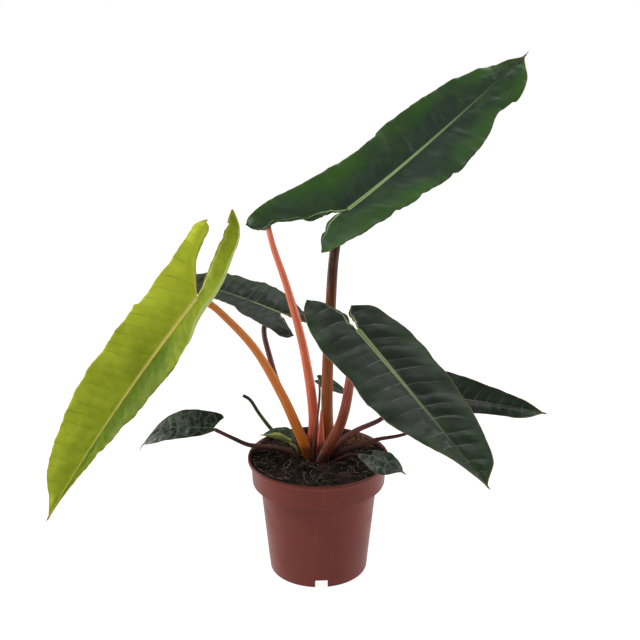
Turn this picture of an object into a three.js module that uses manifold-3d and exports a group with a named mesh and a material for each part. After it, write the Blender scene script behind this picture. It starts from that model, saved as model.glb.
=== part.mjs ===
// A potted philodendron: a nursery pot full of peat, a short crown, and eleven leaves whose long
// arrow-shaped blades stand on round petioles. Millimetres, +Z up. The origin is the middle of the
// pot's underside, and the plant is seen from -Y in its usual view.

import * as THREE from "three";
import { mergeVertices } from "three/addons/utils/BufferGeometryUtils.js";
import Module from "manifold-3d";

const wasm = await Module();
wasm.setup();

// ---------------------------------------------------------------- driving dimensions

const GAP = 0.35; // clearance between pieces that touch
const SLIVER = 0.02; // edges shorter than this are merged after a cut
const RIM_RADIUS = 70; // a 14 cm nursery pot
const POT_HEIGHT = 120.8;
const POT_SIDES = 48;
const COLLAR_BOTTOM = 94.9; // underside of the wide band below the rim
const COLLAR_RADIUS = [65.7, 67.0]; // at the band's bottom and top
const BODY_RADIUS = [48.9, 58.3]; // at the foot and under the collar
const WALL = 1.5;
const FLARE = { height: 4, width: 2.6 }; // the rim opens outwards above the collar
const FLOOR = { underside: 9.2, thickness: 1.8, padRadius: 13, padSlope: 5 };
const NOTCH = { count: 4, width: 12.4, height: 8.4, turn: 3.5 }; // drainage gaps in the foot
const DRAIN = { count: 8, ring: 34, radius: 4.5 }; // holes through the floor

const SOIL = { edge: 119.4, crown: 120.6, bumps: 1.1, rings: 7, sides: 40 };
const CROWN = { x: 2, y: 2, radius: 6, bottom: 88, top: 121.4 };
const ROOTED = 105; // where the petioles end inside the peat

const BLADE_THICKNESS = 0.9;
const RIB = { depth: [3.4, 0.6], halfWidth: 1.5 }; // midrib on the underside, at sinus and tip
const SPINE_STEP = 4; // length of the pieces that a blade's bent spine is marched in
const PETIOLE_SIDES = 8;

const COLOURS = {
  pot: 0x6e3a33,
  peat: 0x1c1512,
  crown: 0x4a2b20,
  sheath: 0xa85a46,
  darkGreen: 0x2f4434,
  freshGreen: 0x3f6a2c,
  lime: 0x8fa02c,
  youngGreen: 0x3a5236,
  pink: 0xc96e5a,
  orange: 0xb0642a,
  brown: 0x6a3820,
  red: 0x8e4034,
  maroon: 0x4a2a2a,
};

// ---------------------------------------------------------------- the leaves

// A blade is drawn flat first: s runs along the midrib from the sinus, w out from it, both in mm.
// widths: the half widths at even tenths of the length. lobe: the ear behind the sinus, as its
// inner margin, its end and its outer margin. The flat blade is then carried by its spine, which
// leaves the sinus at heading, rise and roll (degrees) and bends on (degrees per 100 mm, at the
// sinus and at the tip). fold lifts a half blade out of the flat, cup bends it on to its margin.
const LEAVES = {
  top: {
    slot: "darkGreen",
    sinus: [28, 15, 368],
    heading: 37, rise: 25, roll: 29, length: 262, bend: [5, -6], sweep: 2, twist: 2,
    wave: { height: 1.6, length: 41 },
    left: {
      fold: [22, 4], cup: -8, lobeBend: 13, lobeTwist: -6, lobeFold: 22,
      widths: [45, 42, 40, 42, 42, 40, 37, 33, 25, 13],
      inner: [[-20, 8], [-41, 13], [-64, 25], [-86, 28]], end: [-98, 41], outer: [[-86, 47], [-50, 50]],
    },
    right: {
      fold: [18, 3], cup: -2, lobeBend: -6, lobeTwist: 24, lobeFold: 18,
      widths: [41, 40, 44, 47, 48, 45, 38, 28, 31, 22],
      inner: [[-12, -6.3], [-30, -2], [-45, 11]], end: [-58, 29], outer: [[-50, 38], [-25, 37]],
    },
    petiole: {
      slot: "brown", radius: [6.2, 4.6], steps: 15,
      path: [[11, 11, ROOTED], [10.5, 11, 124], [8.5, 10, 165], [9, 10, 214], [11.5, 13, 269], [15, 17, 323],
        [20, 17, 350], [27, 15.5, 364.5]],
    },
  },
  front: {
    slot: "darkGreen",
    sinus: [36, -55, 273.5],
    heading: -63, rise: -15, roll: 3, length: 220, bend: [-2, -2], sweep: 1, twist: -8,
    wave: { height: 1.3, length: 37 },
    left: {
      fold: [11, 12], cup: -14, lobeBend: 0, lobeTwist: 0, lobeFold: 14,
      widths: [38, 42.5, 44, 43, 42, 41, 38, 34, 28, 20],
      inner: [[-12, 1], [-25, 3]], end: [-35, 11], outer: [[-30, 21], [-19, 31]],
    },
    right: {
      fold: [8, 14], cup: -20, lobeBend: 0, lobeTwist: 0, lobeFold: 8,
      widths: [45, 46, 45, 43, 45, 44, 40, 32, 20, 8],
      inner: [[-12, 0], [-26, -1], [-41, 3], [-53, 13]], end: [-59, 24], outer: [[-45, 33.5], [-21, 40.5]],
    },
    petiole: {
      slot: "red", radius: [5.8, 4.0], steps: 12,
      path: [[1.5, -12, ROOTED], [3.5, -12, 121], [10.5, -12.5, 138], [20, -15, 158], [25.5, -21, 180],
        [29.5, -32, 212], [33, -45, 248], [36, -53, 270]],
    },
  },
  lime: {
    slot: "lime",
    sinus: [-111, -40, 299],
    heading: 204, rise: -48, roll: -25, length: 243, bend: [0, -3], sweep: 3, twist: 0,
    wave: { height: 1.8, length: 34 },
    left: {
      fold: [25, 14], cup: -10, lobeBend: 70, lobeTwist: 30, lobeFold: -30,
      widths: [26, 32, 37, 37, 33, 28, 21, 14, 7, 3],
      inner: [[-25, -7.5], [-55, -5], [-82, -1]], end: [-104, 5.5], outer: [[-78, 12.5], [-35, 15]],
    },
    right: {
      fold: [32, 18], cup: -10, lobeBend: 40, lobeTwist: 0, lobeFold: 32,
      widths: [43, 41, 42, 42, 44, 44, 41.5, 36.5, 30, 17],
      inner: [[-11, 9], [-30, 21], [-50, 23], [-64, 22]], end: [-72, 27], outer: [[-58, 38], [-30, 40]],
    },
    petiole: {
      slot: "orange", radius: [5.6, 3.1], steps: 14,
      path: [[-11, -1, ROOTED], [-10.5, -1, 121], [-22, -4, 155], [-35, -11, 190], [-60, -24, 243],
        [-85, -35, 277.5], [-100, -39, 293], [-109, -40, 296.5]],
    },
  },
  left: {
    slot: "darkGreen",
    sinus: [-39, 75, 244],
    heading: 138, rise: 5, roll: -7, length: 162, bend: [-4, -10], sweep: 0, twist: 0,
    wave: { height: 1.4, length: 29 },
    left: {
      fold: [14, 12], cup: -18, lobeBend: -14, lobeTwist: 0, lobeFold: 14,
      widths: [33, 31, 27, 24, 22, 23, 25, 24, 20, 12],
      inner: [[-11, 7], [-28, 17]], end: [-44, 27], outer: [[-39, 34], [-20, 34]],
    },
    right: {
      fold: [14, 12], cup: -18, lobeBend: -35, lobeTwist: 0, lobeFold: 14,
      widths: [25, 29, 33, 36, 35, 34, 33, 31, 25, 15],
      inner: [[-10, 1], [-22, 2]], end: [-36, 6], outer: [[-24, 14], [-9, 20]],
    },
    petiole: {
      slot: "maroon", radius: [3.4, 2.6], steps: 12,
      path: [[-17, 11, ROOTED], [-17, 11, 126], [-28, 20, 154], [-41.5, 36, 185], [-48, 46, 204],
        [-55, 64, 231], [-50, 73, 240], [-41, 75, 241.5]],
    },
  },
  right: {
    slot: "darkGreen",
    sinus: [87, 45, 169],
    heading: -18, rise: 3, roll: 22, length: 142, bend: [-8, -8], sweep: 0, twist: 0,
    wave: { height: 1.2, length: 27 },
    left: {
      fold: [14, 12], cup: -18, lobeBend: 0, lobeTwist: 0, lobeFold: 14,
      widths: [33, 35, 35, 32, 28, 24, 20, 16, 12, 7],
      inner: [[-14, 6], [-29, 12]], end: [-42, 22], outer: [[-32, 31], [-15, 33]],
    },
    right: {
      fold: [14, 12], cup: -18, lobeBend: 0, lobeTwist: 0, lobeFold: 14,
      widths: [26, 27, 27, 25, 23, 20, 18, 16, 15, 11],
      inner: [[-14, 6], [-26, 10]], end: [-38, 18], outer: [[-30, 26], [-15, 27]],
    },
    petiole: {
      slot: "maroon", radius: [3.4, 1.9], steps: 10,
      path: [[18, 3, ROOTED], [18, 3, 127], [27, 5, 138], [39, 12, 143], [63, 27, 148], [80, 40, 159.4],
        [86, 44.5, 166]],
    },
  },
  back: {
    slot: "freshGreen",
    sinus: [-37, 84, 343],
    heading: 26, rise: 20, roll: 0, length: 185, bend: [2, -6], sweep: 0, twist: 0,
    wave: { height: 1.4, length: 33 },
    left: {
      fold: [16, 10], cup: -14, lobeBend: 0, lobeTwist: 0, lobeFold: 16,
      widths: [19, 21, 23, 24, 25, 26, 25, 22, 17, 10],
      inner: [[-10, 4], [-20, 7]], end: [-28, 11], outer: [[-22, 16], [-10, 18]],
    },
    right: {
      fold: [16, 10], cup: -14, lobeBend: 0, lobeTwist: 0, lobeFold: 16,
      widths: [17, 20, 24, 27, 28, 28, 26, 22, 17, 10],
      inner: [[-10, 4], [-18, 6]], end: [-24, 9], outer: [[-18, 13], [-9, 15]],
    },
    petiole: {
      slot: "pink", radius: [5.8, 2.7], steps: 15,
      path: [[-7, 15, ROOTED], [-6, 15, 122], [-5, 16, 157], [-12.5, 25, 213], [-21.5, 35, 251],
        [-32, 46, 285], [-46.5, 64, 324], [-49, 76, 338], [-40, 83, 340.5]],
    },
  },
  youngLeft: {
    slot: "youngGreen",
    sinus: [-104, 12, 145],
    heading: 188, rise: 8, roll: -35, length: 84, bend: [-66, -100], sweep: 0, twist: 0,
    wave: { height: 0.8, length: 15 },
    left: {
      fold: [10, 12], cup: -16, lobeBend: 0, lobeTwist: 0, lobeFold: 10,
      widths: [4.5, 8, 10, 11, 11, 10.5, 9.5, 8.5, 7, 4],
      inner: [[-1, 1], [-2, 1.5]], end: [-3, 2], outer: [[-2.5, 3], [-1, 3.5]],
    },
    right: {
      fold: [10, 12], cup: -16, lobeBend: 0, lobeTwist: 0, lobeFold: 10,
      widths: [18, 18.5, 20, 22, 21.5, 19.5, 16, 11, 6.5, 3],
      inner: [[-3, 4], [-6, 8]], end: [-10, 12], outer: [[-8, 16], [-4, 17]],
    },
    petiole: {
      slot: "maroon", radius: [2.9, 1.8], steps: 10,
      path: [[-20.3, -3.5, 110], [-20.6, -3.5, 119], [-24, -2.5, 123.6], [-34, 0.5, 127], [-58, 6, 127.9],
        [-70, 9, 128], [-86, 12, 134.2], [-103.4, 12, 143.4]],
    },
  },
  youngCurled: {
    slot: "youngGreen",
    sinus: [-28, 12.5, 128.6],
    heading: 152, rise: 6, roll: 0, length: 33, bend: [-15, -40], sweep: 0, twist: 0,
    wave: { height: 0.5, length: 11 },
    left: {
      fold: [52, 40], cup: 34, lobeBend: 0, lobeTwist: 0, lobeFold: 50,
      widths: [5, 7, 8, 8.5, 8.5, 8, 6.5, 5, 3.5, 2],
      inner: [[-1, 1.5], [-2, 3]], end: [-3, 4.5], outer: [[-2.5, 6.5], [-1, 7.5]],
    },
    right: {
      fold: [44, 40], cup: -16, lobeBend: 0, lobeTwist: 0, lobeFold: 44,
      widths: [9, 12, 14, 15, 15, 14, 12.5, 10.5, 7.5, 4],
      inner: [[-1, 1.5], [-2, 3]], end: [-3, 4.5], outer: [[-2.5, 6.5], [-1, 7.5]],
    },
    petiole: {
      slot: "maroon", radius: [2.0, 1.6], steps: 6,
      path: [[-19.5, 4.2, 110], [-19.5, 4.4, 118], [-20.8, 6, 124.5], [-24.5, 9.6, 127],
        [-27.7, 12.2, 127.8]],
    },
  },
  youngRim: {
    slot: "youngGreen",
    sinus: [52, -27, 134],
    heading: -42, rise: -4, roll: 34, length: 37, bend: [-60, -60], sweep: 0, twist: 0,
    wave: { height: 0.5, length: 11 },
    left: {
      fold: [2, 4], cup: -18, lobeBend: 0, lobeTwist: 0, lobeFold: 2,
      widths: [7, 8.5, 9.5, 10.5, 10.5, 10, 9, 7.5, 5.5, 3],
      inner: [[-1, 2], [-2, 3]], end: [-3, 4], outer: [[-3, 5.5], [-1.5, 6.5]],
    },
    right: {
      fold: [12, 10], cup: -18, lobeBend: 0, lobeTwist: 0, lobeFold: 12,
      widths: [12, 13, 14, 14.5, 14.5, 13.5, 12, 9.5, 6.5, 3],
      inner: [[-5, 1.5], [-10, 3]], end: [-15, 6], outer: [[-12, 9], [-6, 10.5]],
    },
    petiole: {
      slot: "maroon", radius: [1.6, 1.3], steps: 9,
      path: [[16, -11, 110], [16.5, -11, 120], [27, -13, 126], [36, -18, 130.5], [46.5, -25, 132],
        [51.5, -27, 132.5]],
    },
  },
  youngRight: {
    slot: "youngGreen",
    sinus: [102, 16, 143],
    heading: 2, rise: 8, roll: 24, length: 56, bend: [-40, -50], sweep: 0, twist: 0,
    wave: { height: 0.7, length: 15 },
    left: {
      fold: [12, 10], cup: -18, lobeBend: 0, lobeTwist: 0, lobeFold: 12,
      widths: [11, 12, 13, 14, 14, 13, 11, 8.5, 6, 3],
      inner: [[-3, 2], [-6, 5]], end: [-9, 8], outer: [[-7, 10], [-3, 11]],
    },
    right: {
      fold: [12, 10], cup: -18, lobeBend: 0, lobeTwist: 0, lobeFold: 12,
      widths: [9, 10, 11, 12, 12, 11, 10, 8, 5.5, 3],
      inner: [[-3, 2], [-6, 4]], end: [-8, 6], outer: [[-6, 8], [-3, 9]],
    },
    petiole: {
      slot: "maroon", radius: [2.9, 1.4], steps: 9,
      path: [[15, -4.5, 110], [17, -4.5, 121], [27, -3, 128], [41, 2, 131], [58, 8, 134.2], [80, 13, 136],
        [101, 16, 141.5]],
    },
  },
  youngBack: {
    slot: "youngGreen",
    sinus: [0, 27, 191],
    heading: -12, rise: -20, roll: 20, length: 32, bend: [-30, -40], sweep: 0, twist: 0,
    wave: { height: 0.4, length: 9 },
    left: {
      fold: [12, 10], cup: -18, lobeBend: 0, lobeTwist: 0, lobeFold: 12,
      widths: [6.5, 7.5, 8.5, 8.5, 8, 7.5, 6.5, 5.5, 4.5, 2.5],
      inner: [[-1, 1.5], [-2, 2.5]], end: [-3, 3.5], outer: [[-2.5, 5], [-1, 6]],
    },
    right: {
      fold: [12, 10], cup: -18, lobeBend: 0, lobeTwist: 0, lobeFold: 12,
      widths: [6.5, 7.5, 8.5, 8.5, 8, 7.5, 6.5, 5.5, 4.5, 2.5],
      inner: [[-1, 1.5], [-2, 2.5]], end: [-3, 3.5], outer: [[-2.5, 5], [-1, 6]],
    },
    petiole: {
      slot: "maroon", radius: [1.5, 1.1], steps: 9,
      path: [[-6, -9, 110], [-5.5, -8, 122], [-4, -6, 144], [0, -2, 172], [1.2, 12, 184], [0.7, 26, 189.4]],
    },
  },
};

// the sheath of the next leaf stands on the crown, and one old petiole was cut short
const SHEATH = {
  radius: [4.6, 0.7], steps: 8,
  path: [[2, 2, 121.8], [2.4, 1.5, 136], [2.6, 1.2, 154], [2.4, 1, 169]],
};
const STUB = {
  radius: [2.2, 1.7], steps: 8,
  path: [[-30, 34, 110], [-38, 40.5, 119], [-49, 47, 128.5], [-61, 51, 143.8], [-70.3, 54, 157.7],
    [-77.2, 55, 161.8]],
};

// ---------------------------------------------------------------- small helpers

const degrees = (angle) => THREE.MathUtils.degToRad(angle);

// a repeatable noise for the lumps of the peat
function lump(x, y) {
  const coarse = Math.sin(0.21 * x + 1.3) * Math.cos(0.19 * y - 0.6);
  const fine = Math.sin(0.53 * x - 0.45 * y + 2.1) * Math.cos(0.37 * x + 0.61 * y);
  return 0.6 * coarse + 0.4 * fine;
}

// value of a list of numbers given at even steps, at t from 0 to 1
function sample(list, t) {
  const place = THREE.MathUtils.clamp(t, 0, 1) * (list.length - 1);
  const index = Math.min(Math.floor(place), list.length - 2);
  const before = list[Math.max(index - 1, 0)];
  const after = list[Math.min(index + 2, list.length - 1)];
  const f = place - index;
  const a = list[index];
  const b = list[index + 1];
  const slopeA = (b - before) / 2;
  const slopeB = (after - a) / 2;
  return a + f * (slopeA + f * (3 * (b - a) - 2 * slopeA - slopeB + f * (2 * (a - b) + slopeA + slopeB)));
}

function toSolid(geometry) {
  const bare = geometry.clone();
  bare.deleteAttribute("normal");
  bare.deleteAttribute("uv");
  const merged = mergeVertices(bare, 1e-4);
  const mesh = new wasm.Mesh({
    numProp: 3,
    vertProperties: new Float32Array(merged.attributes.position.array),
    triVerts: new Uint32Array(merged.index.array),
  });
  return new wasm.Manifold(mesh);
}

function toGeometry(solid) {
  const mesh = solid.getMesh();
  const geometry = new THREE.BufferGeometry();
  geometry.setAttribute("position", new THREE.BufferAttribute(new Float32Array(mesh.vertProperties), 3));
  geometry.setIndex(new THREE.BufferAttribute(new Uint32Array(mesh.triVerts), 1));
  return geometry;
}

// a boolean can leave a scrap beside the piece and slivers on it: only the largest body is kept,
// without edges too short to see
function cleanBody(solid) {
  const bodies = solid.decompose();
  return bodies.reduce((best, body) => (body.volume() > best.volume() ? body : best)).simplify(SLIVER);
}

const model = new THREE.Group();

function addPiece(name, geometry, slot, roughness) {
  const material = new THREE.MeshStandardMaterial({ color: COLOURS[slot], roughness, metalness: 0 });
  const mesh = new THREE.Mesh(geometry, material);
  mesh.name = name;
  model.add(mesh);
}

// ---------------------------------------------------------------- round stems

// A stem follows its path with a radius that shrinks from one end to the other.
function stemGeometry({ path, radius, steps }, grow = 0) {
  const points = path.map(([x, y, z]) => new THREE.Vector3(x, y, z));
  points[0].z -= grow;
  const curve = new THREE.CatmullRomCurve3(points, false, "centripetal");
  const frames = curve.computeFrenetFrames(steps, false);
  const positions = [];
  const triangles = [];
  for (let i = 0; i <= steps; i += 1) {
    const t = i / steps;
    const centre = curve.getPointAt(t);
    const r = THREE.MathUtils.lerp(radius[0], radius[1], t) + grow;
    for (let j = 0; j < PETIOLE_SIDES; j += 1) {
      const angle = (2 * Math.PI * j) / PETIOLE_SIDES;
      const point = centre.clone();
      point.addScaledVector(frames.normals[i], r * Math.cos(angle));
      point.addScaledVector(frames.binormals[i], r * Math.sin(angle));
      positions.push(point.x, point.y, point.z);
    }
  }
  const ring = (i, j) => i * PETIOLE_SIDES + (j % PETIOLE_SIDES);
  for (let i = 0; i < steps; i += 1) {
    for (let j = 0; j < PETIOLE_SIDES; j += 1) {
      triangles.push(ring(i, j), ring(i, j + 1), ring(i + 1, j));
      triangles.push(ring(i, j + 1), ring(i + 1, j + 1), ring(i + 1, j));
    }
  }
  for (let j = 1; j < PETIOLE_SIDES - 1; j += 1) {
    triangles.push(ring(0, 0), ring(0, j + 1), ring(0, j));
    triangles.push(ring(steps, 0), ring(steps, j), ring(steps, j + 1));
  }
  const geometry = new THREE.BufferGeometry();
  geometry.setAttribute("position", new THREE.Float32BufferAttribute(positions, 3));
  geometry.setIndex(triangles);
  return geometry;
}

// ---------------------------------------------------------------- blades

// The spine is marched in short straight pieces, forwards to the tip and back along each lobe.
function marchSpine(leaf, reach, direction, bendAt, sweep, twist) {
  const heading = degrees(leaf.heading);
  const rise = degrees(leaf.rise);
  const along = new THREE.Vector3(
    Math.cos(heading) * Math.cos(rise), Math.sin(heading) * Math.cos(rise), Math.sin(rise));
  const across = new THREE.Vector3(Math.sin(heading), -Math.cos(heading), 0);
  across.applyAxisAngle(along, degrees(leaf.roll));
  const up = new THREE.Vector3().crossVectors(across, along);
  const place = new THREE.Vector3(...leaf.sinus);
  const stations = [];
  for (let travelled = 0; travelled <= reach + SPINE_STEP; travelled += SPINE_STEP) {
    stations.push({ place: place.clone(), along: along.clone(), across: across.clone(), up: up.clone() });
    const middle = direction * (travelled + SPINE_STEP / 2);
    const bend = degrees((bendAt(middle) * SPINE_STEP * direction) / 100);
    const turn = degrees((sweep * SPINE_STEP * direction) / 100);
    const roll = degrees(twist * SPINE_STEP * direction);
    along.applyAxisAngle(across, bend / 2).applyAxisAngle(up, turn / 2);
    place.addScaledVector(along, SPINE_STEP * direction);
    along.applyAxisAngle(across, bend / 2).applyAxisAngle(up, turn / 2);
    across.applyAxisAngle(up, turn).applyAxisAngle(along, roll);
    across.addScaledVector(along, -across.dot(along)).normalize();
    up.crossVectors(across, along);
  }
  return stations;
}

function stationAt(stations, distance) {
  const place = THREE.MathUtils.clamp(distance / SPINE_STEP, 0, stations.length - 1.001);
  const index = Math.floor(place);
  const mix = (key) => stations[index][key].clone().lerp(stations[index + 1][key], place - index);
  return { place: mix("place"), across: mix("across"), up: mix("up") };
}

// The surface of one half of a blade: flat coordinates in, a point and its normal out.
function halfSurface(leaf, half, side) {
  const bendAt = (s) => THREE.MathUtils.lerp(leaf.bend[0], leaf.bend[1], s / leaf.length);
  const forward = marchSpine(leaf, leaf.length, 1, bendAt, leaf.sweep, leaf.twist / leaf.length);
  const lobeReach = -half.end[0];
  const backward = marchSpine(leaf, lobeReach, -1, () => half.lobeBend, 0, half.lobeTwist / 100);
  const halfWidth = Math.max(...half.widths);
  const curl = degrees(half.cup) / halfWidth;
  return (s, w) => {
    const station = s >= 0 ? stationAt(forward, s) : stationAt(backward, -s);
    const foldHere = s >= 0
      ? THREE.MathUtils.lerp(half.fold[0], half.fold[1], Math.min(s / leaf.length, 1))
      : THREE.MathUtils.lerp(half.fold[0], half.lobeFold, Math.min(-s / lobeReach, 1));
    const fold = degrees(foldHere);
    const slope = fold + curl * w;
    const out = (Math.sin(slope) - Math.sin(fold)) / curl;
    const lift = (Math.cos(fold) - Math.cos(slope)) / curl;
    const normal = station.up.clone().multiplyScalar(Math.cos(slope));
    normal.addScaledVector(station.across, -side * Math.sin(slope)).normalize();
    const edge = Math.min(Math.abs(w) / halfWidth, 1);
    const wave = leaf.wave.height * edge * edge * Math.sin((2 * Math.PI * s) / leaf.wave.length + side);
    const point = station.place.clone();
    point.addScaledVector(station.across, side * out);
    point.addScaledVector(station.up, lift);
    point.addScaledVector(normal, wave);
    return { point, normal, up: station.up };
  };
}

const VEIN_LEAD = 0.06; // how far forward, in lengths, a side vein meets the margin
const TIP_WIDTH = 0.9;

// Rows of flat coordinates, from the lobe's end over the sinus to the tip. Each row runs like a
// side vein, from the midrib or the lobe's inner margin to the outer margin.
function flatRows(leaf, half, lobeRows, bladeRows) {
  const lead = VEIN_LEAD * leaf.length;
  const widthAt = (s) => Math.max(sample([...half.widths, 0], s / leaf.length), TIP_WIDTH);
  const point = ([s, w]) => new THREE.Vector2(s, w);
  const innerCurve = new THREE.SplineCurve([half.end, ...[...half.inner].reverse(), [0, 0]].map(point));
  const outerCurve = new THREE.SplineCurve([half.end, ...half.outer, [lead, widthAt(lead)]].map(point));
  const rows = [];
  for (let i = 0; i < lobeRows; i += 1) {
    const t = (i + 0.35) / (lobeRows + 0.35);
    const inner = innerCurve.getPoint(t);
    const outer = outerCurve.getPoint(t);
    rows.push({ inner, outer });
  }
  for (let i = 0; i <= bladeRows; i += 1) {
    const t = i / bladeRows;
    const s = THREE.MathUtils.lerp(t, Math.sin((t * Math.PI) / 2), 0.25) * leaf.length;
    const margin = s + lead * (1 - s / leaf.length);
    rows.push({ inner: new THREE.Vector2(s, 0), outer: new THREE.Vector2(margin, widthAt(margin)) });
  }
  return rows;
}

function bladeGeometry(leaf, detail, grow = 0) {
  const { lobeRows, bladeRows, columns, ribScale } = detail;
  const top = [];
  const bottom = [];
  const sheet = [];
  const ids = new Map();
  const vertex = (key, point, normal, rib) => {
    if (!ids.has(key)) {
      ids.set(key, top.length);
      top.push(point.clone().addScaledVector(normal, BLADE_THICKNESS / 2 + grow));
      bottom.push(point.clone().addScaledVector(normal, -BLADE_THICKNESS / 2 - rib - grow));
    }
    return ids.get(key);
  };
  for (const [side, half] of [[-1, leaf.left], [1, leaf.right]]) {
    const surface = halfSurface(leaf, half, side);
    const rows = flatRows(leaf, half, lobeRows, bladeRows);
    const grid = rows.map(({ inner, outer }, row) => {
      const span = inner.distanceTo(outer);
      const onMidrib = row >= lobeRows;
      const ribShare = Math.min((RIB.halfWidth * ribScale) / span, 0.3);
      return columns.map((share, column) => {
        if (onMidrib && column === 0) {
          const ribDepth = THREE.MathUtils.lerp(RIB.depth[0], RIB.depth[1], inner.x / leaf.length);
          const { point, up } = surface(inner.x - (row === lobeRows ? grow : 0), 0);
          return vertex(`mid ${row}`, point, up.normalize(), ribDepth * ribScale);
        }
        const inwards = column === 0 ? -grow / span : share;
        const flat = inner.clone().lerp(outer, column === 1 ? ribShare : inwards);
        const { point, normal } = surface(flat.x, flat.y);
        return vertex(`${side} ${row} ${column}`, point, normal, 0);
      });
    });
    for (let row = 0; row < grid.length - 1; row += 1) {
      for (let column = 0; column < columns.length - 1; column += 1) {
        const a = grid[row][column];
        const b = grid[row + 1][column];
        const c = grid[row + 1][column + 1];
        const d = grid[row][column + 1];
        const faces = (row + column) % 2 ? [[a, b, c], [a, c, d]] : [[a, b, d], [b, c, d]];
        faces.forEach(([p, q, r]) => sheet.push(side > 0 ? [p, r, q] : [p, q, r]));
      }
    }
  }
  return closeSheet(top, bottom, sheet);
}

// Two alike sheets and the strip round their edge make one closed thin solid.
function closeSheet(top, bottom, sheet) {
  const count = top.length;
  const edges = new Map();
  const triangles = [];
  for (const [a, b, c] of sheet) {
    triangles.push(a, b, c);
    triangles.push(a + count, c + count, b + count);
    for (const [from, to] of [[a, b], [b, c], [c, a]]) {
      const back = `${to} ${from}`;
      if (edges.has(back)) edges.delete(back);
      else edges.set(`${from} ${to}`, [from, to]);
    }
  }
  for (const [from, to] of edges.values()) {
    triangles.push(from, from + count, to);
    triangles.push(to, from + count, to + count);
  }
  const geometry = new THREE.BufferGeometry();
  const positions = [...top, ...bottom].flatMap((point) => [point.x, point.y, point.z]);
  geometry.setAttribute("position", new THREE.Float32BufferAttribute(positions, 3));
  geometry.setIndex(triangles);
  return geometry;
}

// ---------------------------------------------------------------- pot

function potInsideRadius(z) {
  const collarInside = COLLAR_BOTTOM + WALL;
  const flareBottom = POT_HEIGHT - FLARE.height;
  if (z > flareBottom) {
    return COLLAR_RADIUS[1] - WALL + (FLARE.width * (z - flareBottom)) / FLARE.height;
  }
  if (z > collarInside) {
    const t = (z - collarInside) / (flareBottom - collarInside);
    return THREE.MathUtils.lerp(COLLAR_RADIUS[0], COLLAR_RADIUS[1], t) - WALL;
  }
  return THREE.MathUtils.lerp(BODY_RADIUS[0], BODY_RADIUS[1], z / COLLAR_BOTTOM) - WALL;
}

function latheGeometry(profile, sides) {
  return new THREE.LatheGeometry(profile.map(([r, z]) => new THREE.Vector2(r, z)), sides)
    .rotateX(Math.PI / 2);
}

function potSolid() {
  const floorTop = FLOOR.underside + FLOOR.thickness;
  const slopeEnd = FLOOR.padRadius + FLOOR.padSlope;
  const profile = [
    [0, 0],
    [FLOOR.padRadius, 0],
    [slopeEnd, FLOOR.underside],
    [potInsideRadius(FLOOR.underside), FLOOR.underside],
    [potInsideRadius(0), 0],
    [BODY_RADIUS[0] - 0.9, 0],
    [BODY_RADIUS[0], 1.4],
    [BODY_RADIUS[1] - 0.3, COLLAR_BOTTOM - 3],
    [BODY_RADIUS[1] + 1.2, COLLAR_BOTTOM - 1],
    [COLLAR_RADIUS[0] - 1.2, COLLAR_BOTTOM],
    [COLLAR_RADIUS[0], COLLAR_BOTTOM + 1.4],
    [COLLAR_RADIUS[1], POT_HEIGHT - 5.6],
    [RIM_RADIUS - 2.4, POT_HEIGHT - 4.2],
    [RIM_RADIUS, POT_HEIGHT - 1.6],
    [RIM_RADIUS - 0.4, POT_HEIGHT],
    [potInsideRadius(POT_HEIGHT), POT_HEIGHT],
    [COLLAR_RADIUS[1] - WALL, POT_HEIGHT - FLARE.height],
    [potInsideRadius(COLLAR_BOTTOM + WALL + 0.01), COLLAR_BOTTOM + WALL],
    [potInsideRadius(COLLAR_BOTTOM + WALL), COLLAR_BOTTOM + WALL - 2],
    [potInsideRadius(floorTop), floorTop],
    [slopeEnd - 1, floorTop],
    [FLOOR.padRadius - 1, FLOOR.thickness],
    [0, FLOOR.thickness],
  ];
  let pot = toSolid(latheGeometry(profile, POT_SIDES));
  for (let i = 0; i < NOTCH.count; i += 1) {
    const turn = degrees(NOTCH.turn) + (i * 2 * Math.PI) / NOTCH.count - Math.PI / 2;
    const notch = new THREE.BoxGeometry(12, NOTCH.width, NOTCH.height + 2);
    notch.translate(BODY_RADIUS[0] - 1, 0, NOTCH.height / 2 - 1).rotateZ(turn);
    pot = pot.subtract(toSolid(notch));
  }
  for (let i = 0; i < DRAIN.count; i += 1) {
    const turn = ((i + 0.5) * 2 * Math.PI) / DRAIN.count;
    const hole = new THREE.CylinderGeometry(DRAIN.radius, DRAIN.radius, 8, 12).rotateX(Math.PI / 2);
    hole.translate(DRAIN.ring * Math.cos(turn), DRAIN.ring * Math.sin(turn), FLOOR.underside + 1);
    pot = pot.subtract(toSolid(hole));
  }
  return pot;
}

// ---------------------------------------------------------------- peat

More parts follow.
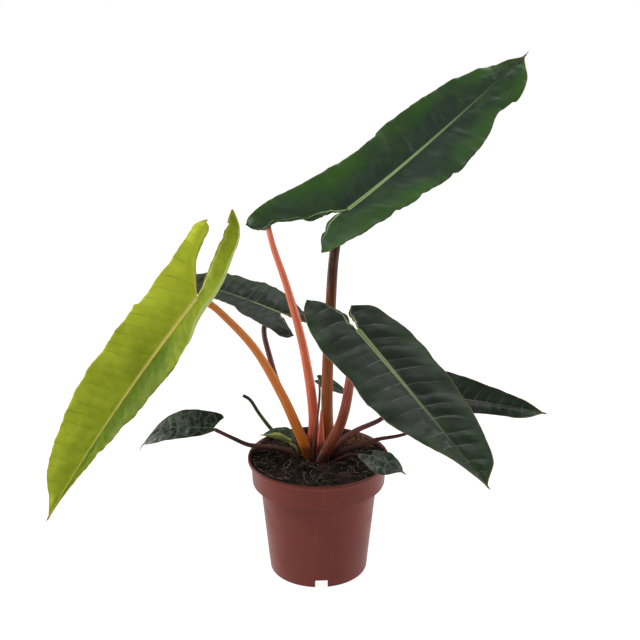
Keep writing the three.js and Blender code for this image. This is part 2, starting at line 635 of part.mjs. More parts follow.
function soilSolid(cutters) {
  const floorTop = FLOOR.underside + FLOOR.thickness + GAP;
  const inside = (z) => potInsideRadius(z) - GAP;
  const shoulder = COLLAR_BOTTOM + WALL;
  const profile = [];
  for (let i = 0; i <= SOIL.rings; i += 1) {
    const share = i / SOIL.rings;
    const z = THREE.MathUtils.lerp(SOIL.crown, SOIL.edge, share * share);
    profile.push([share * inside(SOIL.edge), z]);
  }
  profile.push([COLLAR_RADIUS[1] - WALL - GAP, POT_HEIGHT - FLARE.height]);
  profile.push([inside(shoulder + 0.01), shoulder + GAP]);
  profile.push([inside(shoulder - 2), shoulder - 2 + GAP]);
  profile.push([inside(floorTop), floorTop]);
  profile.push([FLOOR.padRadius + FLOOR.padSlope - 1.3, floorTop]);
  profile.push([FLOOR.padRadius - 1.3, FLOOR.thickness + GAP]);
  profile.push([0, FLOOR.thickness + GAP]);
  const geometry = latheGeometry(profile.reverse(), SOIL.sides);
  const position = geometry.attributes.position;
  const edgeRadius = inside(SOIL.edge);
  for (let i = 0; i < position.count; i += 1) {
    const x = position.getX(i);
    const y = position.getY(i);
    const radius = Math.hypot(x, y);
    const onTop = position.getZ(i) > POT_HEIGHT - FLARE.height + 0.5;
    const fade = THREE.MathUtils.clamp((edgeRadius - radius) / 6, 0, 1);
    if (onTop) position.setZ(i, position.getZ(i) + SOIL.bumps * fade * lump(x, y));
  }
  return cutters.reduce((soil, cutter) => soil.subtract(cutter), toSolid(geometry));
}

// ---------------------------------------------------------------- assembly

const LARGE = { lobeRows: 6, bladeRows: 20, columns: [0, 0.05, 0.4, 0.72, 1], ribScale: 1 };
const SMALL = { lobeRows: 2, bladeRows: 10, columns: [0, 0.1, 0.5, 1], ribScale: 0.45 };
const LARGE_BLADE = 100; // blades longer than this get the finer mesh
const BLADE_ROUGHNESS = 0.45;
const STEM_ROUGHNESS = 0.5;

const crownPath = [[CROWN.x, CROWN.y, CROWN.bottom], [CROWN.x, CROWN.y, 104], [CROWN.x, CROWN.y, CROWN.top]];
const crown = { path: crownPath, radius: [CROWN.radius - 1.5, CROWN.radius], steps: 4 };

const stems = { crown, cut_petiole: STUB };
for (const [name, leaf] of Object.entries(LEAVES)) stems[`petiole_${name}`] = leaf.petiole;
const soilCutters = Object.values(stems).map((stem) => toSolid(stemGeometry(stem, GAP)));

addPiece("pot", toGeometry(potSolid()), "pot", 0.4);
addPiece("peat", toGeometry(cleanBody(soilSolid(soilCutters))), "peat", 0.95);
addPiece("crown", stemGeometry(crown), "crown", STEM_ROUGHNESS);
addPiece("new_leaf_sheath", stemGeometry(SHEATH), "sheath", STEM_ROUGHNESS);
addPiece("cut_petiole", stemGeometry(STUB), "maroon", STEM_ROUGHNESS);

for (const [name, leaf] of Object.entries(LEAVES)) {
  const detail = leaf.length > LARGE_BLADE ? LARGE : SMALL;
  const bladeCutter = toSolid(bladeGeometry(leaf, detail, GAP));
  const petiole = toSolid(stemGeometry(leaf.petiole)).subtract(bladeCutter);
  addPiece(`petiole_${name}`, toGeometry(cleanBody(petiole)), leaf.petiole.slot, STEM_ROUGHNESS);
  addPiece(`blade_${name}`, bladeGeometry(leaf, detail), leaf.slot, BLADE_ROUGHNESS);
}

export default model;
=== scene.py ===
"""Dresses the frame of a potted philodendron: a nursery pot of peat and eleven arrow-shaped leaves.

The frame gives the sizes and places. This script gives the looks: blades with veins and quilted
skin, waxy petioles, loose peat with roots, a satin plastic pot, and the stage. Lengths in the
tables are millimetres, as in the frame's own drawing, and the finished meshes are in metres.
"""

import functools
import math
import random

import bmesh
import bpy
from mathutils import Matrix, Quaternion, Vector, noise


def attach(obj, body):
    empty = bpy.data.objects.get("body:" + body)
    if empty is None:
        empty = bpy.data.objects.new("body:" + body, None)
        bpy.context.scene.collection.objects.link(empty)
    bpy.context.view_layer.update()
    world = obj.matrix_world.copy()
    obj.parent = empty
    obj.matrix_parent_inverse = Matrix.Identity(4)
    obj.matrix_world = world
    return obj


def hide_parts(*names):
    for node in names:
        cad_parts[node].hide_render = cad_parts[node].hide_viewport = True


bl_info = {
    "name": "Potted philodendron",
    "version": (1, 0, 0),
    "blender": (4, 5, 0),
    "location": "3D View > Sidebar > Philodendron",
    "description": "Dresses the frame of a potted philodendron and sets its stage",
    "category": "Object",
}

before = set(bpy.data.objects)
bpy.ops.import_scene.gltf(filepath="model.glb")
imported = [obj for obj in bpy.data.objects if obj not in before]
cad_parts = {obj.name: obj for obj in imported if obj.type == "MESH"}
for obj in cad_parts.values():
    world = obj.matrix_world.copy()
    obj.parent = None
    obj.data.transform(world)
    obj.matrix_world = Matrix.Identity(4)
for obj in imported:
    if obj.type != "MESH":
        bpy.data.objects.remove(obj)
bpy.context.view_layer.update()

MM = 0.001
SEED = 7

# ---------------------------------------------------------------- sizes taken over from the frame

ROOTED = 105  # where the petioles end inside the peat
SOIL_CROWN = 120.4
SOIL_EDGE = 119.4
SOIL_BUMP = 1.1
SOIL_RADIUS = 66.9
SPINE_STEP = 2  # length of the pieces that a blade's bent spine is marched in
VEIN_LEAD = 0.06  # how far forward, in lengths, a side vein meets the margin
TIP_WIDTH = 0.9  # half width of a blade at its tip
TIP_END = 0.16  # and at the end of the drip tip
TIP_ROWS = 6
LARGE_BLADE = 100  # a longer blade takes more columns
SMALL_COLUMNS = 22
NO_FOLD = 1e6
SIDES = {-1: "left", 1: "right"}

# A blade is drawn flat first: s runs along the midrib from the sinus, w out from it. widths: the
# half widths at even tenths of the length. inner, end and outer: the lobe behind the sinus. The
# flat blade is carried by its spine, which leaves the sinus at heading, rise and roll (degrees) and
# bends on (degrees per 100 mm). fold lifts a half blade, at the sinus and at the tip, and cup bends
# it on to its margin. lobe_bend, lobe_twist and lobe_fold do the same behind the sinus. wave: the
# height and length of the margin's swing.
PLAIN_FORM = dict(fold=[12, 10], cup=-18, lobe_bend=0, lobe_twist=0)
LEAVES = {
    "top": dict(
        look="darkGreen", sinus=[28, 15, 368], heading=37, rise=25, roll=29, length=262, bend=[5, -6],
        sweep=2, twist=2, wave=[1.6, 41],
        left=dict(
            fold=[22, 4], cup=-8, lobe_bend=13, lobe_twist=-6,
            widths=[45, 42, 40, 42, 42, 40, 37, 33, 25, 13],
            inner=[[-20, 8], [-41, 13], [-64, 25], [-86, 28]], end=[-98, 41],
            outer=[[-86, 47], [-50, 50]],
        ),
        right=dict(
            fold=[18, 3], cup=-2, lobe_bend=-6, lobe_twist=24,
            widths=[41, 40, 44, 47, 48, 45, 38, 28, 31, 22], inner=[[-12, -6.3], [-30, -2], [-45, 11]],
            end=[-58, 29], outer=[[-50, 38], [-25, 37]],
        ),
        petiole=dict(
            wax="brown", radius=[6.2, 4.6], path=[[11, 11, ROOTED], [10.5, 11, 124], [8.5, 10, 165],
            [9, 10, 214], [11.5, 13, 269], [15, 17, 323], [20, 17, 350], [27, 15.5, 364.5]],
        ),
    ),
    "front": dict(
        look="slateGreen", sinus=[36, -55, 273.5], heading=-63, rise=-15, roll=3, length=220,
        bend=[-2, -2], sweep=1, twist=-8, wave=[1.3, 37],
        left=dict(
            fold=[11, 12], cup=-14, lobe_fold=14, widths=[38, 42.5, 44, 43, 42, 41, 38, 34, 28, 20],
            inner=[[-12, 1], [-25, 3]], end=[-35, 11], outer=[[-30, 21], [-19, 31]],
        ),
        right=dict(
            fold=[8, 14], cup=-20, widths=[45, 46, 45, 43, 45, 44, 40, 32, 20, 8],
            inner=[[-12, 0], [-26, -1], [-41, 3], [-53, 13]], end=[-59, 24],
            outer=[[-45, 33.5], [-21, 40.5]],
        ),
        petiole=dict(
            wax="red", radius=[5.8, 4.0], path=[[1.5, -12, ROOTED], [3.5, -12, 121], [10.5, -12.5, 138],
            [20, -15, 158], [25.5, -21, 180], [29.5, -32, 212], [33, -45, 248], [36, -53, 270]],
        ),
    ),
    "lime": dict(
        look="lime", sinus=[-111, -40, 299], heading=204, rise=-48, roll=-25, length=243, bend=[0, -3],
        sweep=3, wave=[1.8, 34],
        left=dict(
            fold=[25, 14], cup=-10, lobe_bend=70, lobe_twist=30, lobe_fold=-30,
            widths=[26, 32, 37, 37, 33, 28, 21, 14, 7, 3], inner=[[-25, -7.5], [-55, -5], [-82, -1]],
            end=[-104, 5.5], outer=[[-78, 12.5], [-35, 15]],
        ),
        right=dict(
            fold=[32, 18], cup=-10, lobe_bend=40, widths=[43, 41, 42, 42, 44, 44, 41.5, 36.5, 30, 17],
            inner=[[-11, 9], [-30, 21], [-50, 23], [-64, 22]], end=[-72, 27],
            outer=[[-58, 38], [-30, 40]],
        ),
        petiole=dict(
            wax="orange", radius=[5.6, 3.1], path=[[-11, -1, ROOTED], [-10.5, -1, 121], [-22, -4, 155],
            [-35, -11, 190], [-60, -24, 243], [-85, -35, 277.5], [-100, -39, 293], [-109, -40, 296.5]],
        ),
    ),
    "left": dict(
        look="slateGreen", sinus=[-39, 75, 244], heading=138, rise=5, roll=-7, length=162,
        bend=[-4, -10], wave=[1.4, 29],
        left=dict(
            fold=[14, 12], lobe_bend=-14, widths=[33, 31, 27, 24, 22, 23, 25, 24, 20, 12],
            inner=[[-11, 7], [-28, 17]], end=[-44, 27], outer=[[-39, 34], [-20, 34]],
        ),
        right=dict(
            fold=[14, 12], lobe_bend=-35, widths=[25, 29, 33, 36, 35, 34, 33, 31, 25, 15],
            inner=[[-10, 1], [-22, 2]], end=[-36, 6], outer=[[-24, 14], [-9, 20]],
        ),
        petiole=dict(
            wax="maroon", radius=[3.4, 2.6], path=[[-17, 11, ROOTED], [-17, 11, 126], [-28, 20, 154],
            [-41.5, 36, 185], [-48, 46, 204], [-55, 64, 231], [-50, 73, 240], [-41, 75, 241.5]],
        ),
    ),
    "right": dict(
        look="slateGreen", sinus=[87, 45, 169], heading=-18, rise=3, roll=22, length=142, bend=[-8, -8],
        wave=[1.2, 27],
        left=dict(
            fold=[14, 12], widths=[33, 35, 35, 32, 28, 24, 20, 16, 12, 7], inner=[[-14, 6], [-29, 12]],
            end=[-42, 22], outer=[[-32, 31], [-15, 33]],
        ),
        right=dict(
            fold=[14, 12], widths=[26, 27, 27, 25, 23, 20, 18, 16, 15, 11], inner=[[-14, 6], [-26, 10]],
            end=[-38, 18], outer=[[-30, 26], [-15, 27]],
        ),
        petiole=dict(
            wax="maroon", radius=[3.4, 1.9], path=[[18, 3, ROOTED], [18, 3, 127], [27, 5, 138],
            [39, 12, 143], [63, 27, 148], [80, 40, 159.4], [86, 44.5, 166]],
        ),
    ),
    "back": dict(
        look="freshGreen", sinus=[-37, 84, 343], heading=26, rise=20, roll=0, length=185, bend=[2, -6],
        wave=[1.4, 33],
        left=dict(
            fold=[16, 10], cup=-14, widths=[19, 21, 23, 24, 25, 26, 25, 22, 17, 10],
            inner=[[-10, 4], [-20, 7]], end=[-28, 11], outer=[[-22, 16], [-10, 18]],
        ),
        right=dict(
            fold=[16, 10], cup=-14, widths=[17, 20, 24, 27, 28, 28, 26, 22, 17, 10],
            inner=[[-10, 4], [-18, 6]], end=[-24, 9], outer=[[-18, 13], [-9, 15]],
        ),
        petiole=dict(
            wax="pink", radius=[5.8, 2.7], path=[[-7, 15, ROOTED], [-6, 15, 122], [-5, 16, 157],
            [-12.5, 25, 213], [-21.5, 35, 251], [-32, 46, 285], [-46.5, 64, 324], [-49, 76, 338],
            [-40, 83, 340.5]],
        ),
    ),
    "youngLeft": dict(
        look="youngShaded", sinus=[-104, 12, 145], heading=188, rise=8, roll=-35, length=84,
        bend=[-66, -100], wave=[0.8, 15],
        left=dict(
            fold=[10, 12], cup=-16, widths=[4.5, 8, 10, 11, 11, 10.5, 9.5, 8.5, 7, 4],
            inner=[[-1, 1], [-2, 1.5]], end=[-3, 2], outer=[[-2.5, 3], [-1, 3.5]],
        ),
        right=dict(
            fold=[10, 12], cup=-16, widths=[18, 18.5, 20, 22, 21.5, 19.5, 16, 11, 6.5, 3],
            inner=[[-3, 4], [-6, 8]], end=[-10, 12], outer=[[-8, 16], [-4, 17]],
        ),
        petiole=dict(
            wax="maroon", radius=[2.9, 1.8], path=[[-20.3, -3.5, 110], [-20.6, -3.5, 119],
            [-24, -2.5, 123.6], [-34, 0.5, 127], [-58, 6, 127.9], [-70, 9, 128], [-86, 12, 134.2],
            [-103.4, 12, 143.4]],
        ),
    ),
    "youngCurled": dict(
        look="youngGreen", sinus=[-28, 12.5, 128.6], heading=152, rise=6, roll=0, length=33,
        bend=[-15, -40], wave=[0.5, 11],
        left=dict(
            fold=[52, 40], cup=34, lobe_fold=50, widths=[5, 7, 8, 8.5, 8.5, 8, 6.5, 5, 3.5, 2],
            inner=[[-1, 1.5], [-2, 3]], end=[-3, 4.5], outer=[[-2.5, 6.5], [-1, 7.5]],
        ),
        right=dict(
            fold=[44, 40], cup=-16, widths=[9, 12, 14, 15, 15, 14, 12.5, 10.5, 7.5, 4],
            inner=[[-1, 1.5], [-2, 3]], end=[-3, 4.5], outer=[[-2.5, 6.5], [-1, 7.5]],
        ),
        petiole=dict(
            wax="sprout", radius=[2.0, 1.6], path=[[-19.5, 4.2, 110], [-19.5, 4.4, 118],
            [-20.8, 6, 124.5], [-24.5, 9.6, 127], [-27.7, 12.2, 127.8]],
        ),
    ),
    "youngRim": dict(
        look="youngSheen", sinus=[52, -27, 134], heading=-42, rise=-4, roll=34, length=37,
        bend=[-60, -60], wave=[0.5, 11],
        left=dict(
            fold=[2, 4], widths=[7, 8.5, 9.5, 10.5, 10.5, 10, 9, 7.5, 5.5, 3], inner=[[-1, 2], [-2, 3]],
            end=[-3, 4], outer=[[-3, 5.5], [-1.5, 6.5]],
        ),
        right=dict(
            widths=[12, 13, 14, 14.5, 14.5, 13.5, 12, 9.5, 6.5, 3], inner=[[-5, 1.5], [-10, 3]],
            end=[-15, 6], outer=[[-12, 9], [-6, 10.5]],
        ),
        petiole=dict(
            wax="maroon", radius=[1.6, 1.3], path=[[16, -11, 110], [16.5, -11, 120], [27, -13, 126],
            [36, -18, 130.5], [46.5, -25, 132], [51.5, -27, 132.5]],
        ),
    ),
    "youngRight": dict(
        look="youngGreen", sinus=[102, 16, 143], heading=2, rise=8, roll=24, length=56, bend=[-40, -50],
        wave=[0.7, 15],
        left=dict(
            widths=[11, 12, 13, 14, 14, 13, 11, 8.5, 6, 3], inner=[[-3, 2], [-6, 5]], end=[-9, 8],
            outer=[[-7, 10], [-3, 11]],
        ),
        right=dict(
            widths=[9, 10, 11, 12, 12, 11, 10, 8, 5.5, 3], inner=[[-3, 2], [-6, 4]], end=[-8, 6],
            outer=[[-6, 8], [-3, 9]],
        ),
        petiole=dict(
            wax="maroon", radius=[2.9, 1.4], path=[[15, -4.5, 110], [17, -4.5, 121], [27, -3, 128],
            [41, 2, 131], [58, 8, 134.2], [80, 13, 136], [101, 16, 141.5]],
        ),
    ),
    "youngBack": dict(
        look="youngGreen", sinus=[0, 27, 191], heading=-12, rise=-20, roll=20, length=32,
        bend=[-30, -40], wave=[0.4, 9],
        left=dict(
            widths=[6.5, 7.5, 8.5, 8.5, 8, 7.5, 6.5, 5.5, 4.5, 2.5], inner=[[-1, 1.5], [-2, 2.5]],
            end=[-3, 3.5], outer=[[-2.5, 5], [-1, 6]],
        ),
        right=dict(
            widths=[6.5, 7.5, 8.5, 8.5, 8, 7.5, 6.5, 5.5, 4.5, 2.5], inner=[[-1, 1.5], [-2, 2.5]],
            end=[-3, 3.5], outer=[[-2.5, 5], [-1, 6]],
        ),
        petiole=dict(
            wax="maroon", radius=[1.5, 1.1], path=[[-6, -9, 110], [-5.5, -8, 122], [-4, -6, 144],
            [0, -2, 172], [1.2, 12, 184], [0.7, 26, 189.4]],
        ),
    ),
}

# Stems beside the petioles: path, then radius at the foot and at the top.
SHEATH = [[2, 2, 117], [2.4, 1.5, 136], [2.6, 1.2, 154], [2.4, 1, 169]], [4.8, 0.5]
STUB = [
    [-30, 34, 110], [-38, 40.5, 119], [-49, 47, 128.5], [-61, 51, 143.8], [-70.3, 54, 157.7],
    [-77.2, 55, 161.8],
], [2.2, 1.7]
CROWN = [[2, 2, 100], [2, 2, 112], [2, 2, 121]], [5, 6]

# What a blade's skin shows, with colours as sRGB hex. net: how strong the pale net between the side
# veins is. dry_lobe: where along the blade its lobes' ends turn brown. patchy: how uneven the green
# is. vein_ends: how strong a side vein is at the midrib and at the margin. rib_end: how much of the
# midrib's colour is left at the tip.
PLAIN_LOOK = dict(net=0.0, dry_lobe=-9.0, patchy=0.16, vein_ends=(1.0, 0.05), rib_end=0.2)
BLADE_LOOKS = {
    "darkGreen": dict(
        slot="dark_blade", deep="29372C", bright="33551D", vein="5C6B60", rib="9BB377", margin="7A4632",
        under="4E6A44", vein_strength=0.15, roughness=0.38, specular=0.26, wrinkle=0.2, rib_end=0.05,
    ),
    "slateGreen": dict(
        slot="dark_blade", deep="1C221C", bright="28421E", vein="6C786C", rib="7A875A", margin="8C5A40",
        under="4E6A44", vein_strength=0.4, roughness=0.34, specular=0.15, wrinkle=0.5, rib_end=0.05,
        vein_ends=(1.0, 0.1),
    ),
    "freshGreen": dict(
        slot="fresh_blade", deep="1F3A1D", bright="3A6220", vein="5A7A4A", rib="86A050", margin="7A5232",
        under="6A8456", vein_strength=0.35, roughness=0.36, specular=0.28, wrinkle=0.6,
    ),
    # lime: its deep green is darkened for the half in shade, as painted shade; its bright lime is the
    # leaf's own
    "lime": dict(
        slot="lime_blade", deep="4E6408", bright="A2AC2C", vein="3C5203", rib="BCAE58", margin="94602C",
        under="B8C27C", vein_strength=0.5, roughness=0.5, specular=0.07, wrinkle=0.5, rib_end=0.5,
        dry_lobe=-0.4, patchy=0.09, vein_ends=(0.45, 0.9),
    ),
    # youngGreen's under is the young blades' own pale underside, made paler still as painted light on
    # undersides facing down into shade
    "youngGreen": dict(
        slot="young_blade", deep="212722", bright="2E4A20", vein="6E766A", rib="5F6E54", margin="4A4630",
        under="98A058", vein_strength=0.4, roughness=0.36, specular=0.2, wrinkle=0.4, net=0.34,
    ),
}
YOUNG = BLADE_LOOKS["youngGreen"]
# this copy of the young green is made darker: painted shade on the young leaf lying low at the left
BLADE_LOOKS["youngShaded"] = {**YOUNG, "deep": "171C18", "specular": 0.14, "net": 0.27}
# this copy is lighter and greyer: painted sheen on the young leaf at the rim; its stronger pale net is its
# own
BLADE_LOOKS["youngSheen"] = {**YOUNG, "deep": "2C332C", "bright": "35452F", "vein": "8E968C", "net": 0.4}

# What a blade's vertices carry for its skin.
BLADE_LAYERS = ("vein", "across", "along", "rib", "rib_width", "edge", "tone")

# What each blade shows beyond its frame, in millimetres. spacing: from one side vein to the next.
# quilt: how far the skin swells between them. puffs: how far it does in spots near the midrib. rib:
# half width of the midrib at the sinus. lobe_rib: how far the lobes' own ribs run, in lengths. folds,
# ruffle, ragged, inner_ragged: swing of the skin and of the margins. tip: length of the drip tip.
# tip_bend: its turn in degrees per 100 mm. tone, outer, base_tone, tip_tone: how fresh the green is
# overall, at the margin, base and tip. mottle: how uneven the green is.
PLAIN_DRESS = dict(
    spacing=9.0, quilt=0.8, rib=0.6, lobe_rib=0.2, folds=0.5, ruffle=0.5, ragged=0.3, inner_ragged=0.5,
    puffs=0.5, tip=3.0, tip_bend=-200, tone=0.12, outer=0.4, base_tone=0.0, tip_tone=0.3, mottle=1.0,
    left={}, right={},
)
# A nick in a margin stands at s, so deep, and runs out over its width towards the tip or, where that
# is negative, the base. A roll turns the margin over for the width of its strip, till far along.
# tone is added to a whole half's tone; the lime's negative one paints its half darker as painted shade.
PLAIN_HALF = dict(nicks=(), inner_nicks=(), roll=None, tone=0.0)
BLADE_DRESS = {
    "top": dict(
        spacing=13, quilt=0.45, puffs=1.6, rib=2.2, lobe_rib=0.14, folds=2.4, ruffle=2.6, ragged=0.5,
        inner_ragged=2.4, tip=6, tip_bend=900, tone=0.04, outer=0.62, base_tone=0.2, tip_tone=0.5,
        left=dict(
            nicks=[(66, 1.6, -8)],
            inner_nicks=[(-14, 2.0, -5), (-40, 5.0, -7), (-60, 4.0, -6), (-80, 2.0, -5)],
        ),
        right=dict(
            nicks=[(200, 2.5, -9), (86, 3.0, -7), (44, 2.0, -6), (12, 3.0, -7)],
            inner_nicks=[(-12, 2.0, -4), (-30, 3.5, -6)],
        ),
    ),
    "front": dict(
        spacing=17, quilt=0.8, puffs=0.9, rib=3.0, lobe_rib=0.16, folds=1.2, ruffle=1.4, ragged=0.4,
        inner_ragged=1.7, tip=3, tone=0.0, outer=0.3, tip_tone=0.25,
        left=dict(inner_nicks=[(-9, 1.5, -4), (-16, 2.5, -4)]),
        right=dict(inner_nicks=[(-12, 2.0, -4), (-26, 2.5, -5)]),
    ),
    "lime": dict(
        spacing=11, quilt=0.9, rib=2.8, lobe_rib=0.12, folds=1.8, ruffle=3.0, ragged=1.3, inner_ragged=1.2,
        tip=3, tip_bend=-100, tone=0.5, outer=0.2, base_tone=0.4, tip_tone=0.05, mottle=0.35,
        left=dict(
            roll=dict(radius=3.0, strip=6.5, till=62, fade=70),
            # tone=-0.5 paints this whole half at the deep green: painted shade on the half turned from the
            # light
            inner_nicks=[(-80, 3.0, 8), (-62, 2.0, 6)], tone=-0.5,
        ),
        right=dict(nicks=[(26, -2.8, 20)], inner_nicks=[(-66, 3.0, 5)]),
    ),
    "left": dict(
        spacing=12, quilt=1.1, puffs=1.2, rib=1.2, folds=1.6, ruffle=2.0, ragged=0.6, inner_ragged=1.2,
        outer=0.25, tone=0.0,
    ),
    "right": dict(
        spacing=12, quilt=0.8, rib=0.8, folds=1.3, ruffle=0.9, ragged=0.4, inner_ragged=1.0, tip=2,
        outer=0.12, tone=0.0,
    ),
    "back": dict(spacing=12, quilt=0.7, rib=1.5, folds=0.9, ruffle=1.4, ragged=0.6, tip=4, tone=0.4),
    "youngLeft": dict(
        rib=0.45, quilt=0.8, puffs=0.6, folds=1.2, ruffle=0.9, tip=15, tip_bend=-170, tone=0.0, outer=0.15
    ),
    "youngCurled": dict(
        quilt=0.9, puffs=0.6, tone=0.05, outer=0.2,
        left=dict(roll=dict(radius=1.6, strip=3.5, till=200, fade=60)),
    ),
    "youngRim": dict(
        quilt=1.4, puffs=1.2, folds=1.8, ruffle=2.6, ragged=1.2, tip=4, tone=0.0, outer=0.25
    ),
    "youngRight": dict(rib=0.8, folds=0.7),
    "youngBack": dict(),
}

# The petioles' wax colours at the base and at the top, and the colour of their fine streaks.
PETIOLE_LOOKS = {
    "pink": dict(slot="pink_petiole", base="CC5E42", top="C2664F", streak="E3A488"),
    "orange": dict(slot="orange_petiole", base="C0641F", top="BC6A26", streak="D29650"),
    "brown": dict(slot="brown_petiole", base="8C461A", top="200905", streak="A66A38"),
    "red": dict(slot="red_petiole", base="622A16", top="883826", streak="B5705A"),
    "maroon": dict(slot="maroon_petiole", base="683A30", top="4A2A28", streak="825044"),
    "olive": dict(slot="maroon_petiole", base="55702F", top="241C1A", streak="5A6A38"),
    "sprout": dict(slot="maroon_petiole", base="5E6A34", top="9AA860", streak="B4C07A"),
}


# ---------------------------------------------------------------- settings a user would change


def in_metres(name, description, default):
    return bpy.props.FloatProperty(name=name, description=description, default=default, unit="LENGTH")


def how_many(name, description, default):
    return bpy.props.IntProperty(name=name, description=description, default=default)


class PhilodendronPot(bpy.types.PropertyGroup):
    """Sizes and colour of the nursery pot."""

    rim_radius: in_metres("Rim radius", "Outer radius of the rolled rim", 0.070)
    height: in_metres("Height", "Height of the pot", 0.1208)
    wall: in_metres("Wall", "Thickness of the moulded wall", 0.0015)
    colour: bpy.props.FloatVectorProperty(
        name="Plastic", description="Colour of the plastic", subtype="COLOR",
        default=(0.150, 0.026, 0.018), min=0, max=1,
    )


class PhilodendronPlant(bpy.types.PropertyGroup):
    """Fineness and relief of the leaves."""

    blade_thickness: in_metres("Blade thickness", "Thickness of a blade", 0.0006)
    relief: bpy.props.FloatProperty(
        name="Vein relief", description="Scales how far the skin swells between its veins",
        default=1.0, min=0, max=2, subtype="FACTOR",
    )
    rows_per_vein: how_many("Rows per vein", "Rows of faces from one side vein to the next", 9)
    columns: how_many("Columns", "Faces from the midrib to the margin of a large blade", 34)


class PhilodendronPeat(bpy.types.PropertyGroup):
    """What lies on the peat."""

    crumbs: how_many("Crumbs", "Loose crumbs of peat", 900)
    roots: how_many("Roots", "Fine pale roots", 70)
    fibres: how_many("Fibres", "Brown coir fibres", 250)


class PhilodendronStage(bpy.types.PropertyGroup):
    """Floor, light and camera."""

    key_power: bpy.props.FloatProperty(
        name="Key light", description="Power of the large light at the upper left",
        default=22.0, unit="POWER",
    )
    surround: bpy.props.FloatProperty(
        name="Surround", description="Brightness of the white surround", default=0.25
    )


# ---------------------------------------------------------------- small helpers


def linear_colour(sheet):
    """A colour given as sRGB hex, as linear red, green, blue and alpha."""
    channels = [int(sheet[i : i + 2], 16) / 255 for i in (0, 2, 4)]
    return [c / 12.92 if c <= 0.04045 else ((c + 0.055) / 1.055) ** 2.4 for c in channels] + [1.0]


def mix(a, b, t):
    return a + (b - a) * t


def smooth_step(low, high, value):
    t = min(max((value - low) / (high - low), 0.0), 1.0)
    return t * t * (3 - 2 * t)


def spline(values, t):
    """A smooth curve through values (numbers or vectors) given at even steps, at t from 0 to 1."""
    place = min(max(t, 0.0), 1.0) * (len(values) - 1)
    index = min(int(place), len(values) - 2)
    a, b = values[index], values[index + 1]
    before = values[max(index - 1, 0)]
    after = values[min(index + 2, len(values) - 1)]
    f = place - index
    slope_a = (b - before) * 0.5
    slope_b = (after - a) * 0.5
    square = (b - a) * 3 - slope_a * 2 - slope_b
    cube = (a - b) * 2 + slope_a + slope_b
    return a + (slope_a + (square + cube * f) * f) * f


def noise_at(x, y, z=0.0):
    """Repeatable noise from -1 to 1."""
    return noise.noise(Vector((x, y, z)))


def place_object(name, data):
    thing = bpy.data.objects.new(name, data)
    bpy.context.scene.collection.objects.link(thing)
    return thing


def mesh_of(name, bm):
    mesh = bpy.data.meshes.new(name)
    bm.to_mesh(mesh)
    bm.free()
    return mesh


def finish_piece(name, bm, materials, nodes=(), unit=MM):
    """Makes the object of a finished bmesh in metres, and says what it rides on and stands for."""
    bmesh.ops.scale(bm, verts=bm.verts, vec=(unit, unit, unit))
    mesh = mesh_of(name, bm)
    for polygon in mesh.polygons:
        polygon.use_smooth = True
    for material in materials:
        mesh.materials.append(material)
    piece = place_object(name, mesh)
    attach(piece, "root")
    if nodes:
        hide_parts(*nodes)
    return piece


# ---------------------------------------------------------------- materials


def add_node(tree, kind, inputs=(), **settings):
    """Adds a node, sets its properties, and fills or links its inputs."""
    node = tree.nodes.new(kind)
    for name, value in settings.items():
        setattr(node, name, value)
    for socket, value in dict(inputs).items():
        if isinstance(value, bpy.types.NodeSocket):
            tree.links.new(value, node.inputs[socket])
        else:
            node.inputs[socket].default_value = value
    return node


class Paint:
    """A new material with a Principled shader, and short names for the nodes it is painted with."""

    def __init__(self, name):
        self.material = bpy.data.materials.new(name)
        self.material.use_nodes = True
        self.tree = self.material.node_tree
        self.tree.nodes.clear()
        self.shader = add_node(self.tree, "ShaderNodeBsdfPrincipled")
        add_node(self.tree, "ShaderNodeOutputMaterial", {"Surface": self.shader.outputs[0]})

    def node(self, kind, inputs=(), output=0, **settings):
        return add_node(self.tree, kind, inputs, **settings).outputs[output]

    def attribute(self, name, output="Fac"):
        return self.node("ShaderNodeAttribute", output=output, attribute_name=name)

    def place(self):
        return self.node("ShaderNodeTexCoord", output="Object")

    def height(self, place):
        return self.node("ShaderNodeSeparateXYZ", {0: place}, output=2)

    def stretch(self, vector, scale):
        return self.node("ShaderNodeMapping", {"Vector": vector, "Scale": scale})

    def maths(self, operation, a, b=0.0, c=0.0):
        return self.node("ShaderNodeMath", {0: a, 1: b, 2: c}, operation=operation)

    def times(self, a, b):
        return self.maths("MULTIPLY", a, b)

    def band(self, value, low, high, start=0.0, end=1.0):
        """A smooth step of value from start at low to end at high."""
        ends = {0: value, 1: low, 2: high, 3: start, 4: end}
        return self.node("ShaderNodeMapRange", ends, interpolation_type="SMOOTHSTEP")

    def blend(self, factor, a, b):
        """Two colours, as sRGB hex or linear or linked, mixed by factor."""
        a, b = [linear_colour(c) if isinstance(c, str) else c for c in (a, b)]
        return self.node("ShaderNodeMix", {0: factor, 6: a, 7: b}, output=2, data_type="RGBA")

    def mottle(self, vector, scale, detail=3.0, roughness=0.55):
        inputs = {"Vector": vector, "Scale": scale, "Detail": detail, "Roughness": roughness}
        return self.node("ShaderNodeTexNoise", inputs)

    def finish(self, colour, bump=(), gloss=None, **values):
        """Links what is painted, sets the plain values, and gives the material. bump: its height,
        strength and distance."""
        linked = {"Base Color": colour}
        if bump:
            linked["Normal"] = self.node("ShaderNodeBump", zip(("Height", "Strength", "Distance"), bump))
        if gloss:
            linked["Roughness"] = gloss
        for socket, output in linked.items():
            self.tree.links.new(output, self.shader.inputs[socket])
        for name, value in values.items():
            self.shader.inputs[name.replace("_", " ")].default_value = value
        return self.material


